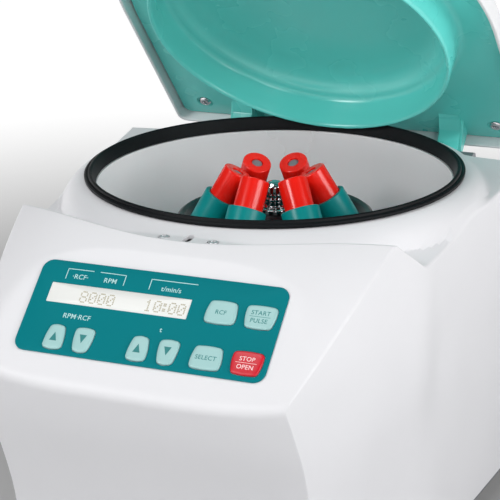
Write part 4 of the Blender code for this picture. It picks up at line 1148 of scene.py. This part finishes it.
slab("display_glass", rounded(WIN[0] - 0.5, WIN[1] - 0.5, 0.5, 4, WIN[2], WIN[3]), 0.35, 0.72,
     CREAM, panel_point, r=0.05, c=(WIN[2], WIN[3]), body="body",
     replaces=("display_window",), slot="display_cream")

# printed lines and words
LW = 0.42
PW = 0.96
lines = [bar(-53.2, 10.3, -53.2, 4.5, LW), bar(-53.2, 4.5, -38.9, 4.4, LW),
         bar(-34.8, 4.4, -20.4, 4.5, LW), bar(-20.4, 4.5, -20.3, 10.3, LW),
         bar(-5.9, 10.4, -5.9, 4.7, LW), bar(-5.9, 4.7, 19.4, 4.6, LW)]
flat_piece("panel_lines", lines, PW, INK_LIGHT, "body")
for i, (s, u, v) in enumerate((("·RCF·", -45.2, 8.5), ("RPM", -28.1, 8.6),
                               ("t/min/s", 6.3, 9.2), ("RPM·RCF", -39.2, 31.3),
                               ("t", 8.0, 32.0))):
    text_piece("panel_word_%d" % i, s, u, v, 2.7, PW + 0.02, INK_LIGHT, "body")

# display digits as a 5 x 7 dot matrix
FONT = {"8": "01110 10001 10001 01110 10001 10001 01110",
        "0": "01110 10001 10011 10101 11001 10001 01110",
        "1": "00100 01100 00100 00100 00100 00100 01110",
        ":": "00000 11000 11000 00000 11000 11000 00000"}
PITCH_U, PITCH_V, DOT = 0.86, 0.98, 0.72
dots = []
for text, u0 in (("8000", -41.2), ("10:00", -4.9)):
    shift = 0.0
    for k, ch in enumerate(text):
        for j, row in enumerate(FONT[ch].split()):
            for i, bit in enumerate(row):
                if bit == "1":
                    cu = u0 + shift + i * PITCH_U
                    cv = 16.6 + j * PITCH_V
                    a = DOT / 2
                    dots.append([(cu - a, cv - a), (cu + a, cv - a), (cu + a, cv + a),
                                 (cu - a, cv + a)])
        shift += 3.0 if ch == ":" else 5.05
flat_piece("display_digits", dots, 0.73, DIGIT, "body", thick=0.02)


# ---------------------------------------------------------------- stage
def plane(name, size, loc, rot, mat):
    me = bpy.data.meshes.new(name)
    s = size / 2
    me.from_pydata([(-s, -s, 0), (s, -s, 0), (s, s, 0), (-s, s, 0)], [], [(0, 1, 2, 3)])
    me.materials.append(mat)
    ob = bpy.data.objects.new(name, me)
    ob.location = loc
    ob.rotation_euler = rot
    bpy.context.scene.collection.objects.link(ob)
    ob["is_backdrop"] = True
    return ob


def shadow_pool_floor(name, base, near, far, r0, r1):
    # Floor material whose emission rises with distance from the floor's centre, from near at r0 to
    # far at r1: a painted shadow pool dark around the object, glowing white further out.
    m = bpy.data.materials.new(name)
    m.use_nodes = True
    nt = m.node_tree
    b = nt.nodes["Principled BSDF"]
    b.inputs["Base Color"].default_value = (base, base, base, 1)
    b.inputs["Roughness"].default_value = 0.9
    b.inputs["Emission Color"].default_value = (1, 1, 1, 1)
    tc = nt.nodes.new("ShaderNodeTexCoord")
    away = nt.nodes.new("ShaderNodeVectorMath")
    away.operation = 'LENGTH'
    mr = nt.nodes.new("ShaderNodeMapRange")
    mr.interpolation_type = 'SMOOTHSTEP'
    for k, v in (("From Min", r0), ("From Max", r1), ("To Min", near), ("To Max", far)):
        mr.inputs[k].default_value = v
    nt.links.new(tc.outputs["Object"], away.inputs[0])
    nt.links.new(away.outputs["Value"], mr.inputs["Value"])
    nt.links.new(mr.outputs[0], b.inputs["Emission Strength"])
    return m


def glow(name, rgb, strength, base=0.9):
    m = bpy.data.materials.new(name)
    m.use_nodes = True
    b = m.node_tree.nodes["Principled BSDF"]
    b.inputs["Base Color"].default_value = (base, base, base, 1)
    b.inputs["Roughness"].default_value = 0.9
    b.inputs["Emission Color"].default_value = (*rgb, 1)
    b.inputs["Emission Strength"].default_value = strength
    return m


# floor with a painted shadow pool: low emission close under the object, bright white further away
plane("floor", 40.0, (0, 0, 0.0), (0, 0, 0), shadow_pool_floor("floor_painted_shadow_pool", 0.45, 0.03, 0.88, 0.32, 1.15))

# a low pale wall far away all round, behind the floor's edge
WALL_N = 48
ring = [(15.0 * math.cos(2 * math.pi * i / WALL_N), 15.0 * math.sin(2 * math.pi * i / WALL_N))
        for i in range(WALL_N)]
me = bpy.data.meshes.new("backdrop")
me.from_pydata([(x, y, -0.01) for x, y in ring] + [(x, y, 2.4) for x, y in ring], [],
               [(i, (i + 1) % WALL_N, WALL_N + (i + 1) % WALL_N, WALL_N + i)
                for i in range(WALL_N)])
me.materials.append(glow("backdrop_white", (1, 1, 1), 0.95))
far_wall = bpy.data.objects.new("backdrop", me)
bpy.context.scene.collection.objects.link(far_wall)
far_wall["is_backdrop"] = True

world_ = bpy.data.worlds.new("studio")
bpy.context.scene.world = world_
world_.use_nodes = True
bg = world_.node_tree.nodes["Background"]
bg.inputs[0].default_value = (1.0, 1.0, 1.0, 1)
bg.inputs[1].default_value = 0.08


def area(name, loc, target, size, power, size_y=None, colour=(1, 1, 1)):
    l = bpy.data.lights.new(name, 'AREA')
    l.energy = power
    l.color = colour
    l.size = size
    if size_y:
        l.shape = 'RECTANGLE'
        l.size_y = size_y
    ob = bpy.data.objects.new(name, l)
    ob.location = loc
    ob.rotation_euler = (Vector(target) - Vector(loc)).to_track_quat('-Z', 'Y').to_euler()
    bpy.context.scene.collection.objects.link(ob)
    return ob


area("key", (-0.95, -1.55, 1.25), (0, 0, 0.2), 0.6, 16.5)
area("front", (0.85, -1.35, 0.95), (0, 0.05, 0.2), 0.5, 4.0)
area("top", (-0.55, -0.25, 1.9), (0, -0.1, 0.2), 0.8, 9.0)
area("side", (1.75, -0.35, 0.95), (0, 0, 0.2), 1.0, 20.0)

# ---------------------------------------------------------------- camera
yaw, pitch, roll = math.radians(22.48), math.radians(19.08), math.radians(-1.04)
f = Vector((-math.sin(yaw) * math.cos(pitch), math.cos(yaw) * math.cos(pitch),
            -math.sin(pitch)))
r = Vector((math.cos(yaw), math.sin(yaw), 0))
u = r.cross(f)
r2 = math.cos(roll) * r + math.sin(roll) * u
u2 = -math.sin(roll) * r + math.cos(roll) * u
cam = bpy.data.cameras.new("camera")
cam.lens = 126.28
cam.sensor_width = 36.0
cam.clip_end = 20.0
co = bpy.data.objects.new("camera", cam)
m = Matrix.Identity(4)
for i in range(3):
    m[i][0], m[i][1], m[i][2] = r2[i], u2[i], -f[i]
m[0][3], m[1][3], m[2][3] = 0.35893, -0.90654 + Y_SHIFT * MM, 0.28408 + RIM_HEIGHT * MM
co.matrix_world = m
bpy.context.scene.collection.objects.link(co)
bpy.context.scene.camera = co
bpy.context.scene.view_settings.view_transform = 'Standard'

lo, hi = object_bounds()
